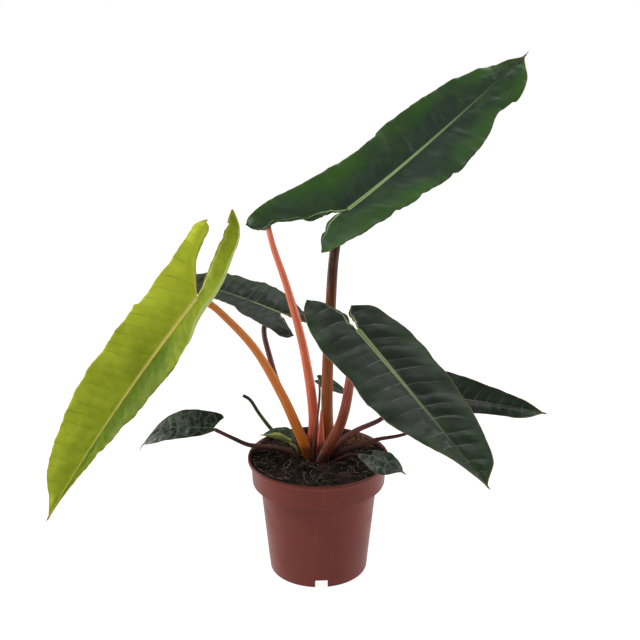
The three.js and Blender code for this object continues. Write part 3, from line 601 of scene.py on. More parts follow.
def moulded_polypropylene(colour):
    """Injection-moulded polypropylene: satin, slightly cloudy, with dust and faint water marks."""
    p = Paint("moulded_polypropylene")
    place = p.place()
    plain = list(colour) + [1.0]
    cloud = p.band(p.mottle(place, 22.0), 0.35, 0.7)
    worn = p.blend(cloud, plain, [c * 0.86 for c in plain[:3]] + [1.0])
    drips = p.band(p.mottle(p.stretch(place, (260.0, 260.0, 14.0)), 1.0, 2.0), 0.6, 0.78)
    dusty = p.blend(p.times(drips, 0.05), worn, "A9806F")
    # painted shade: the top millimetre of the rim is darkened all round, for the inner wall's shadow above
    # the peat
    lip_shade = p.band(p.height(place), 0.1196, 0.1206, 0.0, 0.6)
    shaded = p.blend(lip_shade, dusty, "3A1C16")
    gloss = p.band(p.mottle(place, 60.0), 0.3, 0.8, 0.36, 0.5)
    # the mould's spark-eroded grain is about 0.4 mm
    grain = p.mottle(place, 2400.0, 2.0)
    return p.finish(shaded, (grain, 0.08, 0.0002), gloss, IOR=1.49, Specular_IOR_Level=0.18)


def moist_peat():
    """Sphagnum peat, moist: almost black, matt, with browner crumbs and pale specks of root."""
    p = Paint("moist_peat")
    place = p.place()
    clods = p.band(p.mottle(place, 80.0, 6.0, 0.7), 0.42, 0.7)
    specks = p.band(p.mottle(place, 900.0, 2.0), 0.68, 0.76)
    dotted = p.blend(p.times(specks, 0.5), p.blend(clods, "060504", "36241B"), "6E5545")
    grit = p.mottle(place, 700.0, 6.0, 0.7)
    return p.finish(dotted, (grit, 0.9, 0.0012), Roughness=0.92, IOR=1.4, Specular_IOR_Level=0.2)


def plant_fibre(name, dark, pale):
    """A dry root or coir fibre: matt, its colour changing every few millimetres along it."""
    p = Paint(name)
    place = p.place()
    change = p.band(p.mottle(place, 240.0), 0.35, 0.68)
    grain = p.mottle(place, 1800.0)
    return p.finish(p.blend(change, dark, pale), (grain, 0.4, 0.0003), Roughness=0.85)


def waxy_petiole(name, look):
    """A living leaf stalk: smooth and waxy, its colour shifting from base to top, with fine
    lengthwise streaks and small pale flecks."""
    p = Paint(name)
    straight = p.attribute("straight", "Vector")
    ground = p.blend(p.band(p.attribute("along"), 0.05, 0.95), look["base"], look["top"])
    # streaks about 1 mm wide and 25 mm long
    drawn = p.stretch(straight, (0.9, 0.9, 0.04))
    streaks = p.band(p.mottle(drawn, 1.0, 3.0), 0.45, 0.75)
    streaked = p.blend(p.times(streaks, 0.4), ground, look["streak"])
    flecks = p.band(p.mottle(p.stretch(straight, (1.6, 1.6, 0.45)), 1.0, 1.0), 0.68, 0.74)
    flecked = p.blend(p.times(flecks, 0.3), streaked, look["streak"])
    # painted shade: the foot is darkened up to a few centimetres above the peat, for the shade among the
    # petioles at the crown
    place = p.place()
    shade_height = p.maths("MULTIPLY_ADD", p.mottle(place, 110.0), 0.02, p.height(place))
    shaded = p.blend(p.band(shade_height, 0.136, 0.150, 0.75, 0.0), flecked, "2A1812")
    gloss = p.band(p.mottle(drawn, 2.0), 0.3, 0.75, 0.34, 0.48)
    return p.finish(
        shaded, (streaks, 0.25, 0.0003), gloss,
        IOR=1.42, Specular_IOR_Level=0.27, Subsurface_Weight=0.08, Subsurface_Scale=0.002,
    )


@functools.cache
def leaf_skin(kind, underside):
    """The skin of a philodendron blade: leathery, with a soft grey sheen. Its pale midrib, side
    veins and reddish margin follow the blade's own coordinates, in millimetres."""
    look = {**PLAIN_LOOK, **BLADE_LOOKS[kind]}
    p = Paint(f"leaf_{kind}_{'under' if underside else 'upper'}")
    flat = p.attribute("flat", "Vector")
    vein, across, along, rib, rib_width, edge, tone = [p.attribute(key) for key in BLADE_LAYERS]

    # patches of about a centimetre make the green uneven
    patches = p.band(p.mottle(flat, 0.11, 4.0, 0.6), 0.3, 0.7, -look["patchy"], look["patchy"])
    fresh = p.node("ShaderNodeMath", {0: tone, 1: patches}, operation="ADD", use_clamp=True)
    skin = p.blend(fresh, look["deep"], look["bright"])

    # a side vein takes a tenth of its spacing, about 1 mm, and finer ones lie 1.5 mm apart
    lines = p.band(p.maths("PINGPONG", vein, 0.5), 0.005, 0.055, 1.0, 0.0)
    fading = p.band(across, 0.3, 0.95, *look["vein_ends"])
    broken = p.band(p.mottle(flat, 0.07, 2.0), 0.32, 0.6, 0.15, 1.0)
    main_veins = p.times(p.times(lines, fading), broken)
    fine_veins = p.band(p.maths("PINGPONG", p.times(vein, 9.0), 0.5), 0.0, 0.3, 0.07, 0.0)
    veins = p.times(p.maths("MAXIMUM", main_veins, fine_veins), look["vein_strength"])
    if look["net"]:
        warp = p.node("ShaderNodeTexNoise", {"Vector": flat, "Scale": 0.12, "Detail": 2.0}, "Color")
        shifted = {0: warp, 1: (5.0, 5.0, 0.0), 2: flat}
        bent = p.node("ShaderNodeVectorMath", shifted, operation="MULTIPLY_ADD")
        cells = p.node(
            "ShaderNodeTexVoronoi", {"Vector": bent, "Scale": 0.105}, "Distance",
            feature="DISTANCE_TO_EDGE",
        )
        net = p.times(p.band(cells, 0.0, 0.18, 1.0, 0.0), look["net"])
        veins = p.maths("MAXIMUM", veins, p.times(net, broken))
    veined = p.blend(veins, skin, look["vein"])

    rib_share = p.maths("DIVIDE", p.maths("ABSOLUTE", rib), rib_width)
    rib_mask = p.band(rib_share, 0.55, 1.25, 1.0, 0.0)
    # the midrib melts into the skin before the tip, and the lobes' ribs before their ends
    rib_fade = p.band(along, 0.15, 0.9, 1.0, look["rib_end"])
    ribbed = p.blend(p.times(rib_mask, rib_fade), veined, look["rib"])
    # the margin is a reddish line 0.5 mm wide, wider at the tip, stronger here and weaker there
    red = p.band(p.mottle(flat, 0.05, 2.0), 0.35, 0.65, 0.25, 0.85)
    reach = p.band(along, 0.7, 1.0, 0.75, 1.7)
    edged = p.blend(p.times(p.band(edge, 0.2, reach, 1.0, 0.0), red), ribbed, look["margin"])
    # the drip tip dries to brown, and so do the ends of the new leaf's lobes
    dry_tip = p.band(along, 1.0, 1.02, 0.0, 0.85)
    dry_lobe = p.band(along, look["dry_lobe"] - 0.02, look["dry_lobe"] + 0.015, 0.9, 0.0)
    tipped = p.blend(p.maths("MAXIMUM", dry_tip, dry_lobe), edged, look["margin"])
    if underside:
        tipped = p.blend(0.75, tipped, look["under"])

    rough = look["roughness"]
    gloss = p.band(p.mottle(flat, 0.09, 3.0), 0.3, 0.75, rough - 0.06, rough + 0.12)
    # pores and cross wrinkles finer than the mesh, a few tenths of a millimetre deep
    drawn = p.node("ShaderNodeCombineXYZ", {0: p.times(vein, 5.0), 1: across})
    wrinkles = p.times(p.mottle(drawn, 1.0, 3.0, 0.6), look["wrinkle"])
    relief = p.maths("MULTIPLY_ADD", p.mottle(flat, 1.1, 3.0, 0.6), 0.25, wrinkles)
    relief = p.maths("SUBTRACT", relief, veins)
    return p.finish(tipped, (relief, 0.5, 0.0007), gloss, IOR=1.45, Specular_IOR_Level=look["specular"])


def studio_white():
    """Matt white paper, lit from below as on a product table, for the floor."""
    p = Paint("studio_white")
    tone = p.band(p.mottle(p.place(), 0.6), 0.2, 0.8)
    return p.finish(
        p.blend(tone, "7A7A7A", "7E7E7E"), Roughness=0.9, Specular_IOR_Level=0.1,
        Emission_Color=(1, 1, 1, 1), Emission_Strength=0.94,
    )


# ---------------------------------------------------------------- tubes along a path


def smooth_path(points, spacing):
    """Even points along the centripetal curve through the given points."""
    knots = [Vector(p) for p in points]
    knots = [knots[0] * 2 - knots[1], *knots, knots[-1] * 2 - knots[-2]]
    dense = []
    for i in range(1, len(knots) - 2):
        a, b, c, d = knots[i - 1 : i + 3]
        ta = 0.0
        tb = ta + (b - a).length ** 0.5
        tc = tb + (c - b).length ** 0.5
        td = tc + (d - c).length ** 0.5
        for k in range(12):
            t = mix(tb, tc, k / 12)
            ab = a.lerp(b, (t - ta) / (tb - ta))
            bc = b.lerp(c, (t - tb) / (tc - tb))
            cd = c.lerp(d, (t - tc) / (td - tc))
            abc = ab.lerp(bc, (t - ta) / (tc - ta))
            dense.append(abc.lerp(bc.lerp(cd, (t - tb) / (td - tb)), (t - tb) / (tc - tb)))
    dense.append(knots[-2].copy())
    lengths = [0.0]
    for before, after in zip(dense, dense[1:]):
        lengths.append(lengths[-1] + (after - before).length)
    steps = max(2, round(lengths[-1] / spacing))
    even = []
    index = 0
    for k in range(steps + 1):
        target = lengths[-1] * k / steps
        while index < len(lengths) - 2 and lengths[index + 1] < target:
            index += 1
        share = (target - lengths[index]) / (lengths[index + 1] - lengths[index])
        even.append(dense[index].lerp(dense[index + 1], share))
    return even


def path_frames(points):
    """A turn-free frame (side, other side) at each point."""
    frames = []
    side = Vector((1, 0, 0))
    for i, _ in enumerate(points):
        ahead = points[min(i + 1, len(points) - 1)] - points[max(i - 1, 0)]
        tangent = ahead.normalized()
        side = (side - tangent * side.dot(tangent)).normalized()
        frames.append((side.copy(), tangent.cross(side)))
    return frames


def sweep_tube(bm, points, radii, sides, layers=None):
    """Extrudes a ring along points and closes both ends. layers: the bmesh's "along" and "straight"
    layers, filled if given."""
    ring = bmesh.ops.create_circle(bm, cap_ends=True, segments=sides, radius=1.0)["verts"]
    round_at = {v: v.co.copy() for v in ring}
    edges = list({e for v in ring for e in v.link_edges})
    travelled = 0.0
    for i, (point, (side, other)) in enumerate(zip(points, path_frames(points))):
        if i:
            made = bmesh.ops.extrude_edge_only(bm, edges=edges)["geom"]
            new_ring = [g for g in made if isinstance(g, bmesh.types.BMVert)]
            edges = [
                e for e in made
                if isinstance(e, bmesh.types.BMEdge) and all(v in set(new_ring) for v in e.verts)
            ]
            old_round = {tuple(v.co): unit for v, unit in round_at.items()}
            round_at = {v: old_round[tuple(v.co)] for v in new_ring}
            travelled += (point - points[i - 1]).length
        for v, unit in round_at.items():
            v.co = point + (side * unit.x + other * unit.y) * radii[i]
            if layers:
                v[layers["along"]] = i / (len(points) - 1)
                v[layers["straight"]] = Vector((unit.x * radii[i], unit.y * radii[i], travelled))
    bmesh.ops.contextual_create(bm, geom=edges)


def spin_section(section, segments, merge):
    """Spins a section of (radius, height) pairs round the pot's axis."""
    bm = bmesh.new()
    profile = [bm.verts.new((r, 0, z)) for r, z in section]
    edges = [bm.edges.new(pair) for pair in zip(profile, profile[1:])]
    bmesh.ops.spin(
        bm, geom=profile + edges, cent=(0, 0, 0), axis=(0, 0, 1), angle=2 * math.pi, steps=segments,
        use_merge=True,
    )
    bmesh.ops.remove_doubles(bm, verts=bm.verts, dist=merge)
    bmesh.ops.recalc_face_normals(bm, faces=bm.faces)
    return bm


# ---------------------------------------------------------------- pot


def pot_profile(settings):
    """The pot's section from the middle of its underside round the rim to the middle of its floor."""
    rim = settings.rim_radius / MM
    top = settings.height / MM
    wall = settings.wall / MM
    outside = [
        (47.6, 0), (48.4, 0.2), (48.8, 0.9), (49.0, 2.0), (49.6, 8.4),
        (51.1, 24), (53.3, 46), (55.5, 68), (57.8, 90.0),
        (58.1, 91.9), (58.8, 93.3), (60.2, 94.2), (63.6, 94.6), (65.1, 94.75), (65.6, 95.0), (65.8, 95.6),
        (65.9, 97.2), (66.2, 104), (66.7, 110), (67.0, 114.8),
        (67.2, 115.8), (67.8, 116.4), (68.8, 116.7), (69.7, 117.0), (rim, 117.5), (rim, top - 0.9),
        (rim - 0.35, top - 0.25), (rim - 1.0, top),
    ]
    inside = [
        (rim - 1.9, top), (rim - 2.5, top - 1.0), (rim - 3.5, top - 2.6), (67.0 - wall, top - 4.4),
        (66.7 - wall, 110), (65.9 - wall, 97.8), (65.1 - wall, 96.8), (60.6 - wall, 96.1),
        (58.7 - wall, 95.2), (58.0 - wall, 93.6), (55.5 - wall, 68), (51.9 - wall, 31),
        (50.0 - wall, 13.0), (49.4 - wall, 11.6), (48.0 - wall, 11.0), (17.0, 11.0), (12.0, 1.8), (0, 1.8),
    ]
    under = [
        (0, 0), (12.4, 0), (13.4, 0.6), (18.0, 8.6), (19.0, 9.2), (46.9 - wall, 9.2), (47.9 - wall, 8.8),
        (48.1 - wall, 8.4), (47.9 - wall, 1.0), (48.0 - wall, 0.2), (48.3 - wall, 0),
    ]
    return under + outside + inside


def is_radial(edge):
    """Whether an edge points away from the pot's axis."""
    ends = [v.co.xy for v in edge.verts]
    return abs(ends[0].length - ends[1].length) > 6


def foot_cutter():
    """What is cut out of the pot: four gaps in the foot and eight drain holes in the floor."""
    gaps = 4
    gap_turn = math.radians(3.5)
    gap_size = Matrix.Diagonal((12, 12.4, 10.4, 1))
    holes = 8
    hole_radius = 4.5
    bm = bmesh.new()
    for i in range(gaps):
        turn = gap_turn + i * 2 * math.pi / gaps - math.pi / 2
        place = Matrix.Rotation(turn, 4, "Z") @ Matrix.Translation((47.8, 0, 3.2))
        box = bmesh.ops.create_cube(bm, size=1.0, matrix=place @ gap_size)["verts"]
        edges = {e for v in box for e in v.link_edges}
        upper = [e for e in edges if all(v.co.z > 5 for v in e.verts) and is_radial(e)]
        bmesh.ops.bevel(
            bm, geom=upper, offset=1.2, affect="EDGES", segments=4, profile=0.5, material=-1
        )
    for i in range(holes):
        turn = (i + 0.5) * 2 * math.pi / holes
        place = Matrix.Rotation(turn, 4, "Z") @ Matrix.Translation((34, 0, 10))
        bmesh.ops.create_cone(
            bm, cap_ends=True, segments=32, radius1=hole_radius, radius2=hole_radius, depth=8,
            matrix=place,
        )
    bmesh.ops.scale(bm, verts=bm.verts, vec=(MM, MM, MM))
    return place_object("foot_cutter", mesh_of("foot_cutter", bm))


def bake_modifiers(piece):
    """Makes what the modifiers give the piece's own mesh."""
    seen = piece.evaluated_get(bpy.context.evaluated_depsgraph_get())
    mesh = bpy.data.meshes.new_from_object(seen)
    piece.modifiers.clear()
    piece.data = mesh


def shade_by_angle(piece, degrees):
    """Smooth shading, with edges sharper than the angle kept crisp."""
    bm = bmesh.new()
    bm.from_mesh(piece.data)
    for edge in bm.edges:
        edge.smooth = edge.calc_face_angle(0.0) < math.radians(degrees)
    for face in bm.faces:
        face.smooth = True
    bm.to_mesh(piece.data)
    bm.free()


def build_pot(settings):
    """The nursery pot: a spun wall, four gaps in the foot and eight holes in the floor."""
    bm = spin_section([(r * MM, z * MM) for r, z in pot_profile(settings)], 160, 1e-6)
    material = moulded_polypropylene(settings.colour)
    pot = finish_piece("nursery_pot", bm, [material], ["pot"], unit=1)
    cutter = foot_cutter()
    cut = pot.modifiers.new("foot", "BOOLEAN")
    cut.operation = "DIFFERENCE"
    cut.solver = "EXACT"
    cut.object = cutter
    bake_modifiers(pot)
    bpy.data.objects.remove(cutter)
    shade_by_angle(pot, 35)


# ---------------------------------------------------------------- peat


def soil_height(x, y):
    """The peat's height in millimetres: a low mound with lumps and crumbs, level at the wall."""
    share = min(math.hypot(x, y) / SOIL_RADIUS, 1.0)
    height = mix(SOIL_CROWN, SOIL_EDGE, share * share)
    coarse = noise_at(x * 0.05, y * 0.05, 1.7)
    lumps = noise_at(x * 0.16, y * 0.16, 4.1)
    crumbs = noise_at(x * 0.5, y * 0.5, 8.3)
    return height + SOIL_BUMP * 0.7 * coarse + 1.7 * lumps + crumbs


def build_peat():
    """The peat: a lumpy top spun out to the wall, and plain sides and floor inside the pot."""
    rings = 92
    section = [(SOIL_RADIUS * i / rings, SOIL_CROWN) for i in range(rings + 1)]
    section += [(65.1, 116.4), (63.6, 98.2), (56.2, 94.6)]
    section += [(48.0, 12.2), (17.0, 12.2), (12.0, 3.0), (0, 3.0)]
    bm = spin_section(section, 256, 1e-4)
    for v in bm.verts:
        if v.co.z > SOIL_CROWN - 1:
            v.co.z = soil_height(v.co.x, v.co.y)
    finish_piece("peat_fill", bm, [moist_peat()], ["peat"])


def random_spot(rng, reach):
    """A random place on the peat, as x and y in millimetres."""
    radius = reach * math.sqrt(rng.random())
    turn = rng.uniform(0, 2 * math.pi)
    return radius * math.cos(turn), radius * math.sin(turn)


def build_crumbs(settings):
    """Loose crumbs: small knobbly stones of peat, pressed into the surface."""
    rng = random.Random(SEED)
    bm = bmesh.new()
    for _ in range(settings.crumbs):
        x, y = random_spot(rng, 66.0)
        size = rng.uniform(0.5, 1.5) * (1.7 if rng.random() < 0.08 else 1.0)
        z = soil_height(x, y) + 0.15 * size
        turn = Quaternion((rng.uniform(-1, 1), rng.uniform(-1, 1), 1), rng.uniform(0, 6.28)).normalized()
        shape = Matrix.LocRotScale(
            (x, y, z), turn, (size, size * rng.uniform(0.6, 1.0), size * rng.uniform(0.5, 0.8))
        )
        made = bmesh.ops.create_icosphere(bm, subdivisions=1, radius=1.0, matrix=shape)["verts"]
        for v in made:
            v.co += 0.28 * size * noise.noise_vector(v.co * 0.9)
    finish_piece("peat_crumbs", bm, [moist_peat()])


def wandering_path(rng, start, heading, reach, lift, curl):
    """A fibre's path over the peat: it wanders, and its ends dip into the surface."""
    steps = 18
    wall = 65
    x, y = start
    points = []
    bend = rng.uniform(-curl, curl)
    for i in range(steps + 1):
        z = soil_height(x, y) + lift * math.sin(math.pi * i / steps) - 0.3
        points.append(Vector((x, y, z)))
        heading += bend * 0.66 + rng.uniform(-0.2, 0.2)
        x += math.cos(heading) * reach / steps
        y += math.sin(heading) * reach / steps
        radius = math.hypot(x, y)
        if radius > wall:
            x *= wall / radius
            y *= wall / radius
    return points


def build_strands(name, material, number, reach, thickness, curl, seed, around=None):
    """Many thin strands lying on the peat, in one piece. reach, thickness: from and to. curl: how
    far a strand may bend at each step. around: the centre and spread of a tuft."""
    rng = random.Random(seed)
    bm = bmesh.new()
    for _ in range(number):
        if around:
            centre, spread = around
            spot = (rng.gauss(centre[0], spread), rng.gauss(centre[1], spread * 0.6))
        else:
            spot = random_spot(rng, 62.0)
        strand = rng.uniform(*reach)
        lift = rng.uniform(0.8, 2.6)
        path = wandering_path(rng, spot, rng.uniform(0, 6.28), strand, lift, curl)
        radius = rng.uniform(*thickness)
        radii = [radius * mix(1.0, 0.45, i / (len(path) - 1)) for i in range(len(path))]
        sweep_tube(bm, path, radii, 4)
    finish_piece(name, bm, [material])


# ---------------------------------------------------------------- stems


def petiole_radius(radius, z, share):
    """A petiole is widest at its foot, where it clasps the crown, and swells a little at its knee."""
    foot = 1.0 + 0.04 * math.exp(-(((z - 118.0) / 16.0) ** 2))
    knee = 1.0 + 0.10 * math.exp(-(((share - 0.97) / 0.03) ** 2))
    return mix(radius[0], radius[1], share) * foot * knee


def plain_radius(radius, _, share):
    return mix(radius[0], radius[1], share**1.3)


def build_stem(name, path, radius_at, material, node, spacing, sides):
    """A stem along a path. radius_at takes a point's height and its share of the way."""
    bm = bmesh.new()
    layers = {
        "along": bm.verts.layers.float.new("along"),
        "straight": bm.verts.layers.float_vector.new("straight"),
    }
    points = smooth_path(path, spacing)
    radii = [radius_at(p.z, i / (len(points) - 1)) for i, p in enumerate(points)]
    sweep_tube(bm, points, radii, sides, layers)
    finish_piece(name, bm, [material], [node])


# ---------------------------------------------------------------- blades


def march_spine(leaf, reach, direction, bend_at, sweep, twist):
    """Marches a blade's bent spine from its sinus, forwards to the tip or back along a lobe."""
    step = SPINE_STEP
    heading = math.radians(leaf["heading"])
    rise = math.radians(leaf["rise"])
    along = Vector(
        (math.cos(heading) * math.cos(rise), math.sin(heading) * math.cos(rise), math.sin(rise))
    )
    across = Vector((math.sin(heading), -math.cos(heading), 0))
    across.rotate(Quaternion(along, math.radians(leaf["roll"])))
    up = across.cross(along)
    place = Vector(leaf["sinus"])
    stations = []
    travelled = 0.0
    while travelled <= reach + step:
        stations.append((place.copy(), across.copy(), up.copy()))
        bend = math.radians(bend_at(direction * (travelled + step / 2)) * step * direction / 100)
        turn = math.radians(sweep * step * direction / 100)
        roll = math.radians(twist * step * direction)
        along.rotate(Quaternion(across, bend / 2))
        along.rotate(Quaternion(up, turn / 2))
        place = place + along * (step * direction)
        along.rotate(Quaternion(across, bend / 2))
        along.rotate(Quaternion(up, turn / 2))
        across.rotate(Quaternion(up, turn))
        across.rotate(Quaternion(along, roll))
        across = (across - along * across.dot(along)).normalized()
        up = across.cross(along)
        travelled += step
    return stations


def station_at(stations, distance):
    place = min(max(distance / SPINE_STEP, 0.0), len(stations) - 1.001)
    index = int(place)
    return [a.lerp(b, place - index) for a, b in zip(stations[index], stations[index + 1])]


class HalfBlade:
    """One half of a blade: flat coordinates in millimetres in, a point and its normal out."""

    def __init__(self, leaf, side, dress):
        self.leaf = leaf
        self.side = side
        self.half = half = {**PLAIN_FORM, **leaf[SIDES[side]]}
        self.half_width = max(half["widths"])
        self.lobe_fold = half.get("lobe_fold", half["fold"][0])
        self.lobe_reach = -half["end"][0]
        bend = leaf["bend"]
        length = leaf["length"]

        def bend_at(s):
            return mix(bend[0], bend[1], s / length) if s < length else dress["tip_bend"]

        sweep = leaf.get("sweep", 0)
        twist = leaf.get("twist", 0)
        self.forward = march_spine(leaf, length + dress["tip"], 1, bend_at, sweep, twist / length)
        self.backward = march_spine(
            leaf, self.lobe_reach, -1, lambda s: half["lobe_bend"], 0, half["lobe_twist"] / 100
        )

    def at(self, s, w, fold_line, radius):
        """The point at s and w. Beyond the fold line the margin rolls over with the given radius."""
        half, side = self.half, self.side
        curl = math.radians(half["cup"]) / self.half_width
        if s >= 0:
            place, across, up = station_at(self.forward, s)
            fold = mix(*half["fold"], min(s / self.leaf["length"], 1))
        else:
            place, across, up = station_at(self.backward, -s)
            fold = mix(half["fold"][0], self.lobe_fold, min(-s / self.lobe_reach, 1))
        fold = math.radians(fold)
        flat_w = min(w, fold_line)
        slope = fold + curl * flat_w
        out = (math.sin(slope) - math.sin(fold)) / curl
        lift = (math.cos(fold) - math.cos(slope)) / curl
        if w > fold_line:
            rolled = slope + (w - fold_line) / radius
            out += radius * (math.sin(rolled) - math.sin(slope))
            lift += radius * (math.cos(slope) - math.cos(rolled))
            slope = rolled
        normal = (up * math.cos(slope) - across * (side * math.sin(slope))).normalized()
        edge = min(abs(w) / self.half_width, 1)
        height, swing = self.leaf["wave"]
        sway = 0.5 * height * edge * edge * math.sin(2 * math.pi * s / swing + side)
        return place + across * (side * out) + up * lift + normal * sway, normal


def ragged_edge(s, seed, amount):
    """How far a margin stands in or out of its even line, in slow swings."""
    return amount * (noise_at(s * 0.04, seed, 1.3) + 0.3 * noise_at(s * 0.11, seed, 5.9))


def nicked(s, nicks):
    """How deep the nicks cut into a margin at s: steep on one side, running out on the other."""
    depth = 0.0
    for place, deep, width in nicks:
        share = (s - place) / width
        depth += deep * (math.exp(-share) if share >= 0 else math.exp(share * abs(width) / 0.8))
    return depth


def lobe_rows(half, dress, trim, seed, rows_per_vein, length, first_margin):
    """Rows from the lobe's end to the sinus, each as its inner and outer end in flat coordinates,
    its number in veins, and its place along the blade."""
    spacing = dress["spacing"]
    inner_line = [Vector(p) for p in [half["end"], *reversed(half["inner"]), [0, 0]]]
    outer_line = [Vector(p) for p in [half["end"], *half["outer"], first_margin]]
    reach = -half["end"][0]
    number = max(6, round(reach / spacing * rows_per_vein))
    rows = []
    for i in range(number):
        t = i / number
        back = (1 - t) * reach
        inner, outer = spline(inner_line, t), spline(outer_line, t)
        towards = (outer - inner).normalized() if i else Vector((0, 1))
        settled = smooth_step(0.0, 0.12, t) * smooth_step(1.0, 0.8, t)
        crinkle = ragged_edge(back, seed + 31, 1.0) + 0.5 * noise_at(back * 0.27, seed, 3.3)
        in_shift = nicked(-back, trim["inner_nicks"]) - dress["inner_ragged"] * crinkle
        out_shift = ragged_edge(-back, seed, dress["ragged"]) - nicked(-back, trim["nicks"])
        inner = inner + towards * (settled * in_shift)
        outer = outer + towards * (smooth_step(0.0, 0.15, t) * out_shift)
        rows.append((inner, outer, -back / spacing, -back / length))
    return rows


def blade_rows(leaf, half, dress, trim, seed, rows_per_vein):
    """All rows from the lobe's end over the sinus to the tip, each running like a side vein, and how
    many of them are the lobe's."""
    length = leaf["length"]
    spacing = dress["spacing"]
    lead = VEIN_LEAD * length
    widths = half["widths"] + [0]

    def width_at(s):
        return max(spline(widths, s / length), TIP_WIDTH)

    rows = lobe_rows(half, dress, trim, seed, rows_per_vein, length, [lead, width_at(lead)])
    lobe_count = len(rows)
    number = max(12, round(length / spacing * rows_per_vein))
    for i in range(number + 1):
        t = i / number
        s = mix(t, math.sin(t * math.pi / 2), 0.25) * length
        margin = s + lead * (1 - s / length)
        settled = smooth_step(1.0, 0.86, t)
        shift = ragged_edge(s, seed, dress["ragged"]) - nicked(s, trim["nicks"])
        width = max(width_at(margin) + settled * shift, TIP_WIDTH)
        rows.append((Vector((s, 0)), Vector((margin, width)), s / spacing, s / length))
    for i in range(1, TIP_ROWS + 1):
        t = i / TIP_ROWS
        s = length + t * dress["tip"]
        width = mix(TIP_WIDTH, TIP_END, t**0.7)
        rows.append((Vector((s, 0)), Vector((s, width)), s / spacing, s / length))
    return rows, lobe_count


def quilt_swell(seed, side, vein):
    """How full the skin between two side veins is, from 0 at a vein; every cell has its own height."""
    cell = math.floor(vein)
    fullness = random.Random(f"{seed} {side} {cell}").uniform(0.25, 1.4)
    return fullness * math.sin(math.pi * (vein - cell)) ** 1.1


def skin_relief(dress, seed, side, vein, share, lobe, flat):
    """How far the skin stands off the plain surface, in millimetres: it swells between the veins,
    folds along them every few centimetres, and ruffles at the margins."""
    inside = smooth_step(0.0, 0.16, share) * smooth_step(0.95, 0.4, share)
    quilt = dress["quilt"] * (quilt_swell(seed, side, vein) - 0.35) * inside
    near_rib = smooth_step(0.02, 0.15, share) * smooth_step(0.75, 0.3, share)
    puffs = dress["puffs"] * near_rib * noise_at(vein * 0.95 + 2 * seed, share * 2.6, side * 1.7)
    swing = noise_at(vein * 0.52 + seed, share * 1.3, side * 3.1)
    folds = dress["folds"] * swing * smooth_step(0, 0.4, share)
    slow = noise_at(flat.x * 0.05, seed, side * 7.7)
    quick = noise_at(flat.x * 0.17, seed, 2.2)
    ruffle = dress["ruffle"] * (share**3 * slow + 0.5 * share**7 * quick)
    if lobe:
        inner = (1 - share) ** 5
        ruffle += 1.4 * dress["inner_ragged"] * inner * noise_at(flat.x * 0.09, seed, side * 5.1)
    return quilt + puffs + folds + ruffle


def skin_tone(dress, seed, side, vein, share, along, flat):
    """How fresh the green is, from 0 for slate near the midrib to 1 for bright at margin and tip."""
    tone = dress["tone"] + dress["outer"] * smooth_step(0.3, 1.0, share)
    tip = dress["tip_tone"] * smooth_step(0.6, 1.0, along)
    tone += tip + dress["base_tone"] * smooth_step(0.3, 0.0, along)
    uneven = 0.32 * noise_at(vein * 0.45, share * 1.6, seed + side)
    uneven += 0.25 * noise_at(flat.x * 0.03, flat.y * 0.05 * side, seed + 3.0)
    tone += dress["mottle"] * uneven
    return min(max(tone, 0.0), 1.0)


def build_half(bm, layers, leaf, side, dress, seed, settings):
    """One half of a blade, bent from a flat grid. Gives its spine."""
    length = leaf["length"]
    large = length > LARGE_BLADE
    columns = settings.columns if large else SMALL_COLUMNS
    trim = {**PLAIN_HALF, **dress[SIDES[side]]}
    roll = trim["roll"]
    radius = roll["radius"] if roll else None
    surface = HalfBlade(leaf, side, dress)
    rows, lobe_count = blade_rows(leaf, surface.half, dress, trim, seed + side, settings.rows_per_vein)
    steps = len(rows) - 1
    made = bmesh.ops.create_grid(bm, x_segments=steps, y_segments=columns, size=1.0)["verts"]
    for v in made:
        row = round((v.co.x + 1) / 2 * steps)
        across = (v.co.y + 1) / 2
        share = mix(across, across * across, 0.35) if large else across
        inner, outer, vein, along = rows[row]
        span = (outer - inner).length
        lobe = row < lobe_count
        fold_line = NO_FOLD
        stretch = 1.0
        if roll:
            strip = roll["strip"] * smooth_step(roll["till"], roll["till"] - roll["fade"], along * length)
            strip *= smooth_step(0.0, 14.0, span)
            fold_line = outer.y - min(radius, strip)
            stretch = 1 + max(strip - min(radius, strip), 0) / max(span, 1e-3)
        flat = inner.lerp(outer, share * stretch)
        # the lobes' own ribs leave the sinus along the inner margin
        rib_line = 0.13 * smooth_step(0.0, 0.12, -along) if lobe else 0.0
        if lobe:
            rib_width = dress["rib"] * mix(0.4, 0.08, min(-along / dress["lobe_rib"], 1.0))
        else:
            rib_width = dress["rib"] * mix(1.0, 0.2, min(along, 1.0) ** 0.85)
        vein += 0.34 * noise_at(vein * 0.9, seed, side * 5.0) - 0.3 * share * share
        vein += 0.07 * noise_at(flat.x * 0.08, flat.y * 0.08, seed)
        point, normal = surface.at(flat.x, flat.y, fold_line, radius)
        height = skin_relief(dress, seed, side, vein, share, lobe, flat)
        height *= settings.relief * min(span / 12.0, 1.0)
        if flat.y > fold_line:
            height *= 0.3
        rib = (share - rib_line) * span
        ridge = abs(share - rib_line) * span / rib_width
        v.co = point + normal * (height + 0.125 * dress["rib"] * math.exp(-ridge * ridge))
        edge = (min(share, 1 - share) if lobe else 1 - share) * span
        # a half's own tone is added here; a negative one is painted shade on that half
        tone = skin_tone(dress, seed, side, vein, share, along, flat) + trim["tone"]
        for key, value in zip(BLADE_LAYERS, (vein, share, along, rib, rib_width, edge, tone)):
            v[layers[key]] = value
        v[layers["flat"]] = Vector((flat.x, side * flat.y, seed))
    if side > 0:
        bmesh.ops.reverse_faces(bm, faces=list({f for v in made for f in v.link_faces}))
    return surface.forward


def thicken(bm, thickness):
    """Gives the sheet its thickness downwards. The underside takes the second material."""
    top = list(bm.faces)
    bmesh.ops.solidify(bm, geom=top, thickness=thickness)
    kept = set(top)
    for face in bm.faces:
        if face not in kept:
            face.material_index = 1


